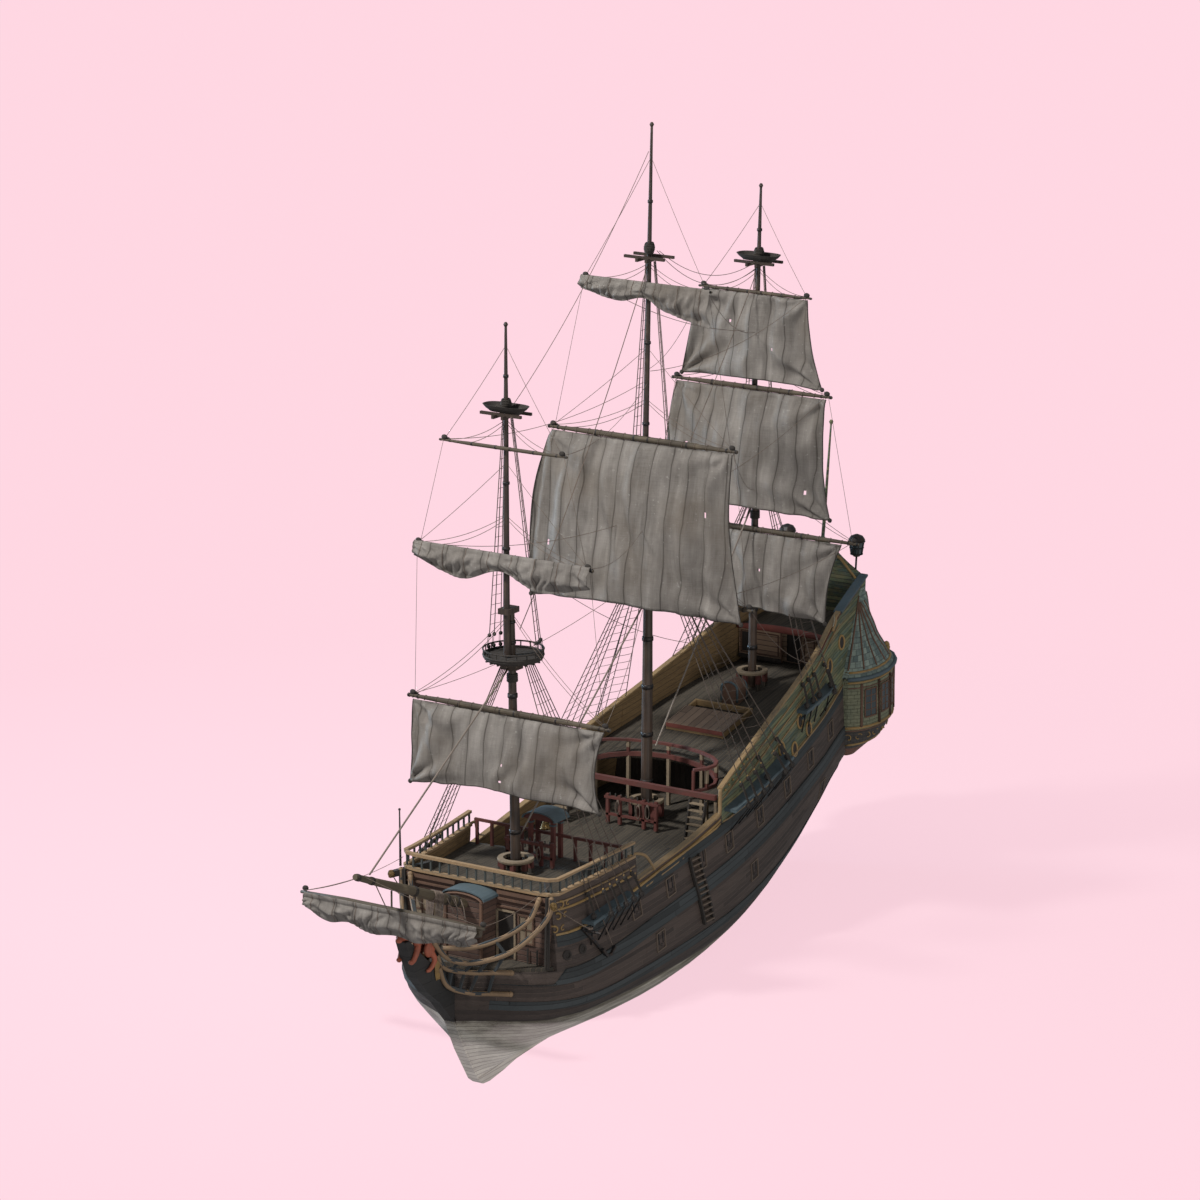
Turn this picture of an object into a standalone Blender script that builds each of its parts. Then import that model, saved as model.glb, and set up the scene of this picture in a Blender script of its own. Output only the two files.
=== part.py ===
"""A three masted pinnace, about 31 m over its bowsprit, as separate pieces.

Frame: metres, +Z up, bow towards -Y, port side towards +X.
The origin lies on the waterline, on the centreline, at the main mast.
"""
import math

import bmesh
import bpy
from mathutils import Matrix, Vector

for old in list(bpy.data.objects):
    bpy.data.objects.remove(old)

# Clearances and thicknesses
SEAT = 0.0003
SIDE_GAP = 0.012
WALL = 0.14
PLANK = 0.12
KEEL_DEPTH = 0.30
KEEL_LEVEL = (-5.1, 0.5, -2.30)
KEEL_HALF = 0.17
STEM_HALF = 0.25

# Hull form, one row for each section:
# y, keel foot z, greatest half breadth, its z, half breadth at the top, top z, fullness
HULL_FORM = (
    (-12.85, -2.85, 0.22, 1.20, 0.22, 2.20, 1.00),
    (-12.45, -2.85, 1.00, 1.20, 0.92, 2.20, 1.30),
    (-11.95, -2.82, 2.15, 1.20, 2.02, 2.40, 1.25),
    (-11.30, -2.78, 3.10, 1.15, 2.90, 3.50, 1.10),
    (-10.30, -2.70, 3.75, 1.10, 3.30, 4.65, 1.05),
    (-9.00, -2.52, 4.00, 1.00, 3.38, 4.70, 0.98),
    (-6.40, -2.31, 4.12, 1.15, 3.62, 4.90, 0.76),
    (-3.50, -2.30, 4.15, 1.25, 3.78, 4.60, 0.78),
    (-0.80, -2.30, 4.08, 1.50, 3.70, 5.60, 0.92),
    (2.00, -2.26, 3.83, 2.00, 3.42, 7.07, 1.12),
    (4.00, -1.95, 3.55, 2.60, 3.14, 7.66, 1.20),
    (6.00, -1.38, 3.20, 3.25, 2.88, 8.28, 1.30),
    (8.00, -0.68, 2.85, 4.05, 2.57, 9.00, 1.36),
    (9.41, 0.04, 2.50, 4.65, 2.19, 9.78, 1.42),
    (11.50, 1.71, 2.12, 5.20, 1.98, 11.00, 1.70),
)

# Sheer, one row for each place: y, top z of the solid hull, top z of the bulwark
SHEER = (
    (-12.85, 1.90, 1.90),
    (-11.002, 1.90, 1.90),
    (-11.00, 4.08, 4.62),
    (-8.50, 4.12, 4.72),
    (-6.42, 4.18, 4.90),
    (-6.40, 2.92, 4.05),
    (-3.50, 3.38, 4.55),
    (-0.82, 3.80, 5.08),
    (-0.80, 3.80, 5.98),
    (1.30, 3.98, 6.80),
    (3.20, 4.20, 7.42),
    (3.22, 6.28, 7.43),
    (5.40, 6.78, 8.10),
    (7.40, 7.18, 8.78),
    (8.79, 7.38, 9.43),
    (9.80, 7.53, 10.00),
    (9.802, 8.98, 10.00),
    (11.50, 9.25, 11.00),
)
EXTRA_STATIONS = (-12.68, -12.20, -11.62, -10.70, -9.65, -7.70, -5.00, -2.20, 0.40, 8.20, 10.60)

# Lean of the bow's and the stern's sections
BOW_LEAN = 0.55
BOW_LEAN_FROM = -9.0
STERN_LEAN = 0.08
STERN_LEAN_FROM = 8.0
STERN_LEAN_Z = -2.30

# Places that several pieces share
BEAK_Y = -11.00
FORECASTLE_AFT_Y = -6.42
BREAK_Y = -0.80
CABIN_Y = 3.20
POOP_FRONT_Y = 9.42
POOP_WALL_Y = 9.80
STEP = 0.002
TRANSOM_Y = 11.50
FLOOR_Z = 2.04
# The quarterdeck's edge where it spans the waist's after end: y, z
SPAN_EDGE = ((-0.80, 5.62), (1.30, 5.97), (3.20, 6.40))

# Masts: name, y, deck z, platform z, cap z, crosstrees z, truck z, rake, lower radius
MASTS = {
    "fore": (-8.66, 4.37, 12.30, 13.95, 21.05, 24.33, -0.024, 0.18),
    "main": (-0.03, 4.06, 14.20, 16.10, 25.11, 30.03, 0.010, 0.21),
    "mizzen": (7.42, 7.50, 14.90, 16.40, 23.74, 26.73, 0.020, 0.16),
}

# Yards: name, mast, z, half length, middle radius
YARDS = (
    ("fore_course_yard", "fore", 10.35, 4.30, 0.125),
    ("fore_topsail_yard", "fore", 16.05, 3.78, 0.115),
    ("fore_topgallant_yard", "fore", 19.91, 2.68, 0.075),
    ("main_course_yard", "main", 12.75, 4.75, 0.135),
    ("main_topsail_yard", "main", 18.56, 4.06, 0.120),
    ("main_topgallant_yard", "main", 24.20, 2.80, 0.080),
    ("mizzen_course_yard", "mizzen", 13.66, 4.70, 0.115),
    ("mizzen_topsail_yard", "mizzen", 19.11, 3.50, 0.105),
    ("mizzen_topgallant_yard", "mizzen", 22.69, 2.46, 0.075),
)
YARD_STANDOFF = 0.03

# Set sails: name, yard, head half width, foot half width, foot z, belly, foot rise
SET_SAILS = (
    ("fore_course", "fore_course_yard", 4.05, 3.95, 7.30, 0.75, 0.30),
    ("main_topsail", "main_topsail_yard", 3.85, 4.45, 12.30, 1.35, 0.30),
    ("mizzen_course", "mizzen_course_yard", 3.95, 3.35, 10.45, 0.55, 0.25),
    ("mizzen_topsail", "mizzen_topsail_yard", 3.25, 3.60, 14.50, 1.10, 0.20),
    ("mizzen_topgallant", "mizzen_topgallant_yard", 2.28, 3.05, 19.35, 0.50, 0.15),
)
# Furled sails: name, yard, half width, (x, drop) of the lower edge
FURLED_SAILS = (
    ("fore_topsail", "fore_topsail_yard", 3.70,
     ((-1.0, 0.35), (-0.45, 0.92), (0.0, 0.45), (0.42, 1.00), (1.0, 0.60))),
    ("main_topgallant", "main_topgallant_yard", 2.75,
     ((-1.0, 0.35), (-0.40, 0.66), (0.0, 0.45), (0.30, 0.85), (1.0, 1.30))),
)
SAIL_THICK = 0.03

# Material: colour, roughness, metallic
FINISHES = {
    "hull": ((0.075, 0.055, 0.048), 0.75, 0.0),
    "bottom": ((0.55, 0.54, 0.48), 0.80, 0.0),
    "deck": ((0.12, 0.11, 0.10), 0.85, 0.0),
    "tan": ((0.50, 0.36, 0.20), 0.65, 0.0),
    "red": ((0.28, 0.08, 0.06), 0.65, 0.0),
    "green": ((0.20, 0.26, 0.17), 0.70, 0.0),
    "blue": ((0.10, 0.15, 0.19), 0.70, 0.0),
    "spar": ((0.16, 0.10, 0.07), 0.65, 0.0),
    "canvas": ((0.30, 0.28, 0.27), 0.95, 0.0),
    "rope": ((0.20, 0.16, 0.12), 0.95, 0.0),
    "iron": ((0.05, 0.05, 0.055), 0.60, 0.7),
    "brass": ((0.45, 0.30, 0.10), 0.40, 0.9),
}


def material(name):
    """Give the named finish as one Principled material."""
    found = bpy.data.materials.get(name)
    if found:
        return found
    colour, rough, metal = FINISHES[name]
    made = bpy.data.materials.new(name)
    made.use_nodes = True
    shader = made.node_tree.nodes["Principled BSDF"]
    shader.inputs["Base Color"].default_value = (*colour, 1.0)
    shader.inputs["Roughness"].default_value = rough
    shader.inputs["Metallic"].default_value = metal
    made.diffuse_color = (*colour, 1.0)
    return made


def add_object(name, verts, faces, finish):
    """Add one object whose faces point out."""
    mesh = bpy.data.meshes.new(name)
    mesh.from_pydata([tuple(v) for v in verts], [], faces)
    form = bmesh.new()
    form.from_mesh(mesh)
    bmesh.ops.recalc_face_normals(form, faces=form.faces)
    form.to_mesh(mesh)
    form.free()
    made = bpy.data.objects.new(name, mesh)
    bpy.context.collection.objects.link(made)
    made.data.materials.append(material(finish))
    return made


def loft(name, rings, finish, split=False):
    """Skin closed rings of equal counts and cap both ends.

    With split, each quad is two triangles whose diagonals mirror across the centreline,
    so that a neighbour lofted over the same rings follows the same facets.
    """
    count = len(rings[0])
    verts = [v for ring in rings for v in ring]
    faces = []
    for r in range(len(rings) - 1):
        for i in range(count):
            j = (i + 1) % count
            a, b = r * count + i, r * count + j
            c, d = a + count, b + count
            if not split:
                faces.append((a, b, d, c))
            elif i < count // 2:
                faces += [(a, b, d), (a, d, c)]
            else:
                faces += [(a, b, c), (b, d, c)]
    faces.append(tuple(range(count)))
    last = (len(rings) - 1) * count
    faces.append(tuple(last + i for i in range(count)))
    return add_object(name, verts, faces, finish)


def box(name, low, high, finish):
    """A block between two corners."""
    x0, y0, z0 = low
    x1, y1, z1 = high
    rings = [[(x0, y, z0), (x1, y, z0), (x1, y, z1), (x0, y, z1)] for y in (y0, y1)]
    return loft(name, rings, finish)


def rod(name, ends, radii, finish, sides=8):
    """A round bar along points, with a radius at each point."""
    points = [Vector(p) for p in ends]
    rings = []
    for i, point in enumerate(points):
        before = points[max(i - 1, 0)]
        after = points[min(i + 1, len(points) - 1)]
        along = (after - before).normalized()
        side = along.cross(Vector((0, 0, 1)))
        if side.length < 0.05:
            side = Vector((1, 0, 0))
        side.normalize()
        up = side.cross(along).normalized()
        turn = [2 * math.pi * k / sides for k in range(sides)]
        rings.append([point + radii[i] * (math.cos(t) * side + math.sin(t) * up) for t in turn])
    return loft(name, rings, finish)


def bar(name, ends, width, height, finish):
    """A rectangular bar along points, kept level across its width."""
    points = [Vector(p) for p in ends]
    rings = []
    for i, point in enumerate(points):
        before = points[max(i - 1, 0)]
        after = points[min(i + 1, len(points) - 1)]
        along = (after - before).normalized()
        side = along.cross(Vector((0, 0, 1)))
        if side.length < 0.05:
            side = Vector((1, 0, 0))
        side.normalize()
        up = side.cross(along).normalized()
        corners = ((-1, -1), (1, -1), (1, 1), (-1, 1))
        rings.append([point + side * (a * width / 2) + up * (b * height / 2) for a, b in corners])
    return loft(name, rings, finish)


def profile_x(name, outline, half, finish, centre=0.0):
    """An outline in the YZ plane, extruded across X."""
    rings = [[(centre + side * half, y, z) for y, z in outline] for side in (-1, 1)]
    return loft(name, rings, finish)


def plan_z(name, outline, z0, z1, finish):
    """An outline in the XY plane, extruded up."""
    rings = [[(x, y, z) for x, y in outline] for z in (z0, z1)]
    return loft(name, rings, finish)


def combine(name, pieces, operation, finish=None):
    """Join or cut pieces into the first with exact booleans, and keep the result."""
    base = pieces[0]
    for piece in pieces[1:]:
        step = base.modifiers.new("join", "BOOLEAN")
        step.operation = operation
        step.solver = "EXACT"
        step.object = piece
    bpy.context.view_layer.update()
    graph = bpy.context.evaluated_depsgraph_get()
    mesh = bpy.data.meshes.new_from_object(base.evaluated_get(graph))
    base.modifiers.clear()
    base.data = mesh
    for piece in pieces[1:]:
        bpy.data.objects.remove(piece)
    base.name = name
    mesh.name = name
    if finish:
        mesh.materials.clear()
        mesh.materials.append(material(finish))
        for face in mesh.polygons:
            face.material_index = 0
    return base


def union(name, pieces, finish=None):
    return combine(name, pieces, "UNION", finish)


def cut(name, pieces, finish=None):
    return combine(name, pieces, "DIFFERENCE", finish)


def mirrored(points):
    return [(-x, y, z) for x, y, z in points]


def straight(rows, column, y):
    """Read a column along y by straight stretches."""
    if y <= rows[0][0]:
        return rows[0][column]
    for a, b in zip(rows[:-1], rows[1:]):
        if y <= b[0]:
            t = (y - a[0]) / (b[0] - a[0])
            return a[column] + t * (b[column] - a[column])
    return rows[-1][column]


def faired(rows, column, y):
    """Read a column along y by a smooth curve through its rows."""
    if y <= rows[0][0]:
        return rows[0][column]
    if y >= rows[-1][0]:
        return rows[-1][column]
    k = next(i for i in range(len(rows) - 1) if y <= rows[i + 1][0])

    def slope(i):
        a, b = rows[max(i - 1, 0)], rows[min(i + 1, len(rows) - 1)]
        return (b[column] - a[column]) / (b[0] - a[0])

    span = rows[k + 1][0] - rows[k][0]
    t = (y - rows[k][0]) / span
    start, end = rows[k][column], rows[k + 1][column]
    curve = (2 * t ** 3 - 3 * t ** 2 + 1) * start + (3 * t ** 2 - 2 * t ** 3) * end
    return curve + span * ((t ** 3 - 2 * t ** 2 + t) * slope(k) + (t ** 3 - t ** 2) * slope(k + 1))


def keel_foot(y):
    """Underside of the keel, level between two stations."""
    start, end, level = KEEL_LEVEL
    return level if start <= y <= end else faired(HULL_FORM, 1, y)


def rabbet(y):
    return faired(HULL_FORM, 1, y) + KEEL_DEPTH


def half(y, z):
    """Half breadth of the hull at a section and a height."""
    low = rabbet(y)
    widest = faired(HULL_FORM, 2, y)
    widest_z = faired(HULL_FORM, 3, y)
    if z <= widest_z:
        s = max(0.0, (z - low) / (widest_z - low))
        full = faired(HULL_FORM, 6, y)
        return KEEL_HALF + (widest - KEEL_HALF) * math.sin(math.pi / 2 * s ** full)
    t = min(1.0, (z - widest_z) / (faired(HULL_FORM, 5, y) - widest_z))
    return widest + (faired(HULL_FORM, 4, y) - widest) * t * t * (3 - 2 * t)


def lean(y, z):
    """How far a point of a section stands aft of it."""
    if z < 0 and y < BOW_LEAN_FROM:
        return BOW_LEAN * -z * (BOW_LEAN_FROM - y) / (BOW_LEAN_FROM + 12.85)
    if y > STERN_LEAN_FROM:
        return STERN_LEAN * (z - STERN_LEAN_Z) * (y - STERN_LEAN_FROM) / (TRANSOM_Y - STERN_LEAN_FROM)
    return 0.0


def at(x, y, z):
    return (x, y + lean(y, z), z)


def hull_top(y):
    return straight(SHEER, 1, y)


def rail_top(y):
    return straight(SHEER, 2, y)


STATIONS = sorted({row[0] for row in HULL_FORM} | {row[0] for row in SHEER} | set(EXTRA_STATIONS))


def stations(y0, y1):
    """The stations within a stretch, its two ends included."""
    inner = [y for y in STATIONS if y0 < y < y1]
    return [y0, *inner, y1]


LOWER_STEPS = 8
UPPER_STEPS = 4


def hull_ring(y):
    """One section of the solid hull, port side up and starboard side down."""
    low = rabbet(y)
    widest_z = faired(HULL_FORM, 3, y)
    top = hull_top(y)
    levels = [low + (widest_z - low) * i / LOWER_STEPS for i in range(LOWER_STEPS + 1)]
    levels += [widest_z + (top - widest_z) * i / UPPER_STEPS for i in range(1, UPPER_STEPS + 1)]
    port = [at(half(y, z), y, z) for z in levels]
    return port + mirrored(reversed(port))


def build_hull():
    """The solid hull, with the fore channels that stand out from it."""
    pieces = [loft("hull", [hull_ring(y) for y in STATIONS], "hull", True)]
    label, y0, y1, z0, z1, width = CHANNELS[0]
    for side in (1, -1):
        pieces.append(channel(side, y0, y1, z0, z1, width, -BITE))
    union("hull", pieces)


# Outline of the stem and the knee of the head, from its top down to the keel: y, z
STEM_OUTER = (
    (-15.78, 3.72), (-15.49, 3.00), (-15.08, 2.21), (-14.47, 1.52), (-13.74, 0.93),
    (-12.90, 0.00), (-12.28, -1.25), (-11.42, -2.62), (-11.12, -2.83), (-10.70, -2.85),
)
KNEE_TOP = ((-12.86, 1.86), (-13.60, 2.16), (-14.50, 2.74), (-15.20, 3.38), (-15.55, 3.72))
POST_DEPTH = 0.32
POST_FOOT_Z = 1.90
POST_TOP_Z = 4.30


def post_face(z):
    """The after face of the sternpost."""
    return TRANSOM_Y + lean(TRANSOM_Y, z) + POST_DEPTH




def build_keel():
    """Keel, stem, knee and sternpost, cut from one outline."""
    keel = [y for y in STATIONS if -10.7 < y < TRANSOM_Y]
    outer = list(STEM_OUTER)
    for y in keel:
        foot = keel_foot(y)
        outer.append((y + lean(y, foot), foot))
    outer += [(post_face(z), z) for z in (POST_FOOT_Z, POST_TOP_Z)]
    post_in = [(TRANSOM_Y + lean(TRANSOM_Y, z) + SEAT, z) for z in (POST_TOP_Z, rabbet(TRANSOM_Y))]
    bottom = [(y + lean(y, rabbet(y)), rabbet(y) - SEAT) for y in reversed(STATIONS)]
    bottom = [p for p in bottom if p[0] > -11.40]
    stem_in = [(-12.85 + BOW_LEAN * -z - SEAT, z) for z in (rabbet(-12.85), 0.0)]
    outline = outer + post_in + bottom + stem_in + [(-12.86, 1.86)] + list(KNEE_TOP[1:])
    profile_x("keel_and_stem", outline, STEM_HALF - 0.03, "bottom")


def strip(name, side, rows, finish):
    """A wall along the hull's side: rows of y, low z and high z."""
    rings = []
    for y, low, high in rows:
        levels = (low, (low + high) / 2, high)
        outer = [at(side * half(y, z), y, z) for z in levels]
        inner = [at(side * (half(y, z) - WALL), y, z) for z in reversed(levels)]
        rings.append(outer + inner)
    return loft(name, rings, finish, True)


# Channels: name, y from, y to, z from, z to, width
CHANNELS = (
    ("fore", -9.75, -7.10, 3.46, 3.86, 0.46),
    ("main", -0.55, 4.30, 5.26, 6.04, 0.50),
    ("mizzen", 5.85, 8.75, 7.34, 7.62, 0.42),
)
CHANNEL_DEPTH = 0.10
BITE = 0.05


def mirror_copy(source, name):
    """The other side's copy of a piece, reflected across the centreline."""
    mesh = source.data.copy()
    mesh.name = name
    for vert in mesh.vertices:
        vert.co.x = -vert.co.x
    mesh.flip_normals()
    made = bpy.data.objects.new(name, mesh)
    bpy.context.collection.objects.link(made)
    return made


def build_bulwarks():
    """Planked sides above the solid hull, with the channels that spread the shrouds."""
    rows = [(y, hull_top(y) + SEAT, rail_top(y)) for y in stations(BEAK_Y, TRANSOM_Y)]
    pieces = [strip("bulwark_port", 1, rows, "green")]
    for label, y0, y1, z0, z1, width in CHANNELS[1:]:
        pieces.append(channel(1, y0, y1, z0, z1, width, -BITE))
    mirror_copy(union("bulwark_port", pieces), "bulwark_starboard")


def channel(side, y0, y1, z0, z1, width, inset):
    """One board along the side, standing out from it."""
    rings = []
    for y in stations(y0, y1):
        z = z0 + (z1 - z0) * (y - y0) / (y1 - y0)
        beside_hull = y >= CABIN_Y and hull_top(y + 0.02) > z - CHANNEL_DEPTH - 0.05
        near = half(y, z) + (0.03 if beside_hull else inset)
        far = half(y, z) + width
        ring = [(near, z - CHANNEL_DEPTH), (far, z - CHANNEL_DEPTH), (far, z), (near, z)]
        rings.append([at(side * x, y, height) for x, height in ring])
    return loft("channel", rings, "blue")


def deck_edge(name, y):
    if name == "quarterdeck" and y <= CABIN_Y:
        return straight(SPAN_EDGE, 1, y)
    if name == "poop_deck":
        return hull_top(max(y, POOP_WALL_Y + STEP)) + PLANK
    return hull_top(y) + PLANK


def slab(name, y0, y1, camber):
    """A cambered deck that fits between the bulwarks."""
    rings = []
    for y in stations(y0, y1):
        top = deck_edge(name, y)
        low = top - PLANK + SEAT
        x_low = half(y, low) - WALL - SIDE_GAP
        x_top = half(y, top) - WALL - SIDE_GAP
        ring = [at(-x_low, y, low), at(x_low, y, low), at(x_top, y, top)]
        ring += [at(x_top / 2, y, top + camber * 0.75), at(0, y, top + camber)]
        ring += [at(-x_top / 2, y, top + camber * 0.75), at(-x_top, y, top)]
        rings.append(ring)
    return loft(name, rings, "deck")


# Break of the quarterdeck: half width and depth of its hollow front, and its middle y
BREAK_HALF = 2.95
BREAK_DEPTH = 1.55
BREAK_MID_Y = 0.05
BREAK_STEPS = 14


def break_curve(shrink, steps=BREAK_STEPS):
    """Points of the hollow front from starboard round to port, shrunk inwards."""
    points = []
    for i in range(steps + 1):
        turn = math.pi * (1.17 - 1.34 * i / steps)
        x = (BREAK_HALF - shrink) * math.cos(turn)
        y = BREAK_MID_Y + (BREAK_DEPTH - shrink) * math.sin(turn)
        points.append((x, y))
    return points


def mast_ring(name, mast_y, deck_z, top_z, radius, posts, finish_top):
    """Bitts: a thick ring on short posts round a mast's foot."""
    pieces = []
    width = 0.16
    around = 16
    rings = []
    for k in range(around):
        turn = 2 * math.pi * k / around
        out = Vector((math.cos(turn), math.sin(turn), 0))
        centre = Vector((0, mast_y, top_z))
        ring = []
        for r, z in ((radius - width, -0.12), (radius, -0.12), (radius + 0.02, 0.0), (radius - width, 0.0)):
            ring.append(centre + out * r + Vector((0, 0, z)))
        rings.append(ring)
    verts = [v for ring in rings for v in ring]
    faces = []
    for k in range(around):
        n = (k + 1) % around
        for i in range(4):
            j = (i + 1) % 4
            faces.append((k * 4 + i, k * 4 + j, n * 4 + j, n * 4 + i))
    pieces.append(add_object(name, verts, faces, finish_top))
    for k in range(posts):
        turn = 2 * math.pi * (k + 0.5) / posts
        x = (radius - width / 2) * math.cos(turn)
        y = mast_y + (radius - width / 2) * math.sin(turn)
        low = deck_z(x, y)
        pieces.append(box("post", (x - 0.07, y - 0.07, low), (x + 0.07, y + 0.07, top_z - 0.04), "red"))
    return pieces


def deck_at(name, camber):
    """Height of a deck's top at a place, sunk a little so that a post joins it."""
    def height(x, y):
        edge = deck_edge(name, y)
        wide = half(y, edge) - WALL
        share = min(1.0, abs(x) / wide)
        rise = camber * (1 - 0.5 * share) if share < 0.5 else camber * 1.5 * (1 - share)
        return edge + rise - BITE
    return height


CAMBER = {"forecastle_deck": 0.12, "main_deck": 0.13, "quarterdeck": 0.15}
DECK_OF = {"fore": "forecastle_deck", "main": "main_deck", "mizzen": "quarterdeck"}


def stand_on(name, x, y, reach):
    """Lowest height at which something stands clear on a deck."""
    height = deck_at(name, CAMBER[name])
    spots = [(x + a * reach, y + b * reach) for a in (-1, 0, 1) for b in (-1, 0, 1)]
    return max(height(*spot) for spot in spots) + BITE + 0.0006


BITTS = {
    "fore": (0.62, 0.52, 8),
    "main": (0.62, 0.82, 6),
    "mizzen": (0.56, 0.62, 6),
}


def build_decks():
    """The five decks, with the bitts that stand on three of them."""
    slab("beak_deck", -12.60, BEAK_Y - STEP - SEAT, 0.02)
    fore = slab("forecastle_deck", BEAK_Y, FORECASTLE_AFT_Y, 0.12)
    add_bitts(fore, "forecastle_deck", "fore", 0.12)
    main = slab("main_deck", -6.40, CABIN_Y, 0.13)
    add_bitts(main, "main_deck", "main", 0.13)
    quarter = slab("quarterdeck", BREAK_Y, POOP_WALL_Y, 0.15)
    bite = [(x, y) for x, y in break_curve(0.0)]
    bite += [(bite[-1][0], BREAK_Y - 0.5), (bite[0][0], BREAK_Y - 0.5)]
    front = plan_z("front", bite, 5.0, 7.0, "deck")
    cut("quarterdeck", [quarter, front, hatch_hole()])
    quarter = bpy.data.objects["quarterdeck"]
    add_bitts(quarter, "quarterdeck", "mizzen", 0.15)
    slab("poop_deck", POOP_FRONT_Y, TRANSOM_Y - 0.16, 0.12)


def add_bitts(deck, deck_name, mast, camber):
    radius, height, posts = BITTS[mast]
    y, deck_z = MASTS[mast][:2]
    ring = mast_ring("ring", y, deck_at(deck_name, camber), deck_z + height, radius, posts, "tan")
    union(deck_name, [deck, *ring])


# Main hatch in the quarterdeck: y from, y to, half width, coaming height
HATCH = (3.32, 5.42, 1.26, 0.20)


def hatch_hole():
    y0, y1, wide, rise = HATCH
    return box("hole", (-wide + 0.10, y0 + 0.10, 6.0), (wide - 0.10, y1 - 0.10, 8.0), "deck")


def build_hatch():
    """Coaming round the hatch and the planked cover over its forward part."""
    y0, y1, wide, rise = HATCH
    sides = []
    for y in (y0, y1):
        z = deck_edge("quarterdeck", y) + 0.15 + 0.0014
        sides.append((y, z))

    def frame(name, inset, low, high):
        rings = []
        for y, z in ((sides[0][0] + inset, sides[0][1]), (sides[1][0] - inset, sides[1][1])):
            x = wide - inset
            rings.append([(-x, y, z + low), (x, y, z + low), (x, y, z + high), (-x, y, z + high)])
        return loft(name, rings, "tan")

    cut("hatch_coaming", [frame("hatch_coaming", 0.0, 0.0, rise), frame("inner", 0.10, -0.5, rise + 0.5)])
    slope = (sides[1][1] - sides[0][1]) / (y1 - y0)
    hinge = (y0, sides[0][1] + rise + SEAT)
    length = 1.42
    end = (hinge[0] + length, hinge[1] + slope * length)
    outline = [hinge, end, (end[0], end[1] + 0.06), (hinge[0] - 0.03, hinge[1] + 0.06)]
    outline.append((hinge[0] - 0.03, hinge[1] - 0.10))
    outline.append((hinge[0] - 0.001, hinge[1] - 0.10))
    profile_x("hatch_cover", outline, wide, "red")


def build_beakhead():
    """The wall across the fore end of the forecastle, with the round-house before it."""
    wall_rings = []
    front = BEAK_Y - STEP - 0.12
    for y in (front, BEAK_Y - STEP - SEAT):
        x_low = half(BEAK_Y - 0.14, FLOOR_Z) - 0.30
        x_top = half(BEAK_Y, 4.6) - 0.02
        low = hull_top(-12.0) + PLANK + 0.0206
        wall_rings.append([(-x_low, y, low), (x_low, y, low), (x_top, y, 3.2), (x_top, y, 4.60),
                           (-x_top, y, 4.60), (-x_top, y, 3.2)])
    wall = loft("forecastle_front", wall_rings, "red")
    roof = []
    for k in range(9):
        turn = math.pi * k / 8
        roof.append((0.86 * math.cos(turn), 4.28 + 0.24 * math.sin(turn)))
    low = hull_top(-12.0) + PLANK + 0.0206
    outline = [(0.78, low), *[(x, z) for x, z in roof], (-0.78, low)]
    rings = [[(x, y, z) for x, z in outline] for y in (-11.95, BEAK_Y - 0.10)]
    house = loft("house", rings, "red")
    joined = union("forecastle_front", [wall, house])
    hole = box("hole", (0.92, front - 0.2, low + 0.03), (1.60, BEAK_Y, low + 1.72), "red")
    cut("forecastle_front", [joined, hole])
    box("beak_door", (0.9205, front, low + 0.04), (1.592, front + 0.05, low + 1.71), "tan")


# Head rails on one side, from the stem back to the hull: x, y, z
HEAD_RAILS = (
    ((0.33, -14.30, 3.36), (0.50, -13.75, 2.68), (0.95, -13.30, 2.42), (1.60, -12.80, 2.50),
     (2.30, -12.25, 2.82), (2.90, -11.58, 3.50), (3.16, -11.24, 4.05), (3.20, -11.20, 4.56)),
    ((0.42, -13.85, 3.02), (1.15, -12.95, 2.94), (1.90, -12.15, 3.24), (2.50, -11.55, 3.78),
     (2.74, -11.28, 4.50)),
    ((0.2880, -14.02, 2.80), (0.350, -13.62, 2.22), (0.92, -12.95, 1.97), (1.62, -12.40, 1.94),
     (2.12, -12.10, 1.93)),
    ((0.2868, -13.90, 2.30), (0.345, -13.45, 1.50), (0.80, -12.75, 1.14), (1.45, -12.36, 1.12),
     (2.06, -12.08, 1.13)),
)
HEAD_TIMBERS = (-13.42, -13.08, -12.76, -12.42)
RAIL_W = 0.12


def on_rail(rail, y):
    """The place where a rail passes a section."""
    for a, b in zip(rail[:-1], rail[1:]):
        if a[1] <= y <= b[1]:
            t = (y - a[1]) / (b[1] - a[1])
            return tuple(a[k] + t * (b[k] - a[k]) for k in range(3))
    return rail[-1]


def build_head():
    """Rails and timbers of the head, one node on each side."""
    for name, side in (("head_rails_port", 1), ("head_rails_starboard", -1)):
        pieces = []
        for rail in HEAD_RAILS:
            points = [(side * x, y, z) for x, y, z in rail]
            pieces.append(bar("rail", points, RAIL_W, RAIL_W, "tan"))
        for y in HEAD_TIMBERS:
            places = [on_rail(HEAD_RAILS[k], y) for k in (0, 2, 3)]
            points = [(side * x, y + 0.001 * k, z) for k, (x, yy, z) in enumerate(places)]
            pieces.append(bar("timber", points, 0.09, 0.09, "hull"))
        lower = on_rail(HEAD_RAILS[0], -12.42)
        upper = on_rail(HEAD_RAILS[1], -12.42)
        ends = [(side * lower[0], -12.42, lower[2]), (side * upper[0], -12.42, upper[2])]
        pieces.append(bar("timber", ends, 0.08, 0.08, "hull"))
        union(name, pieces, "tan")


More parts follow.
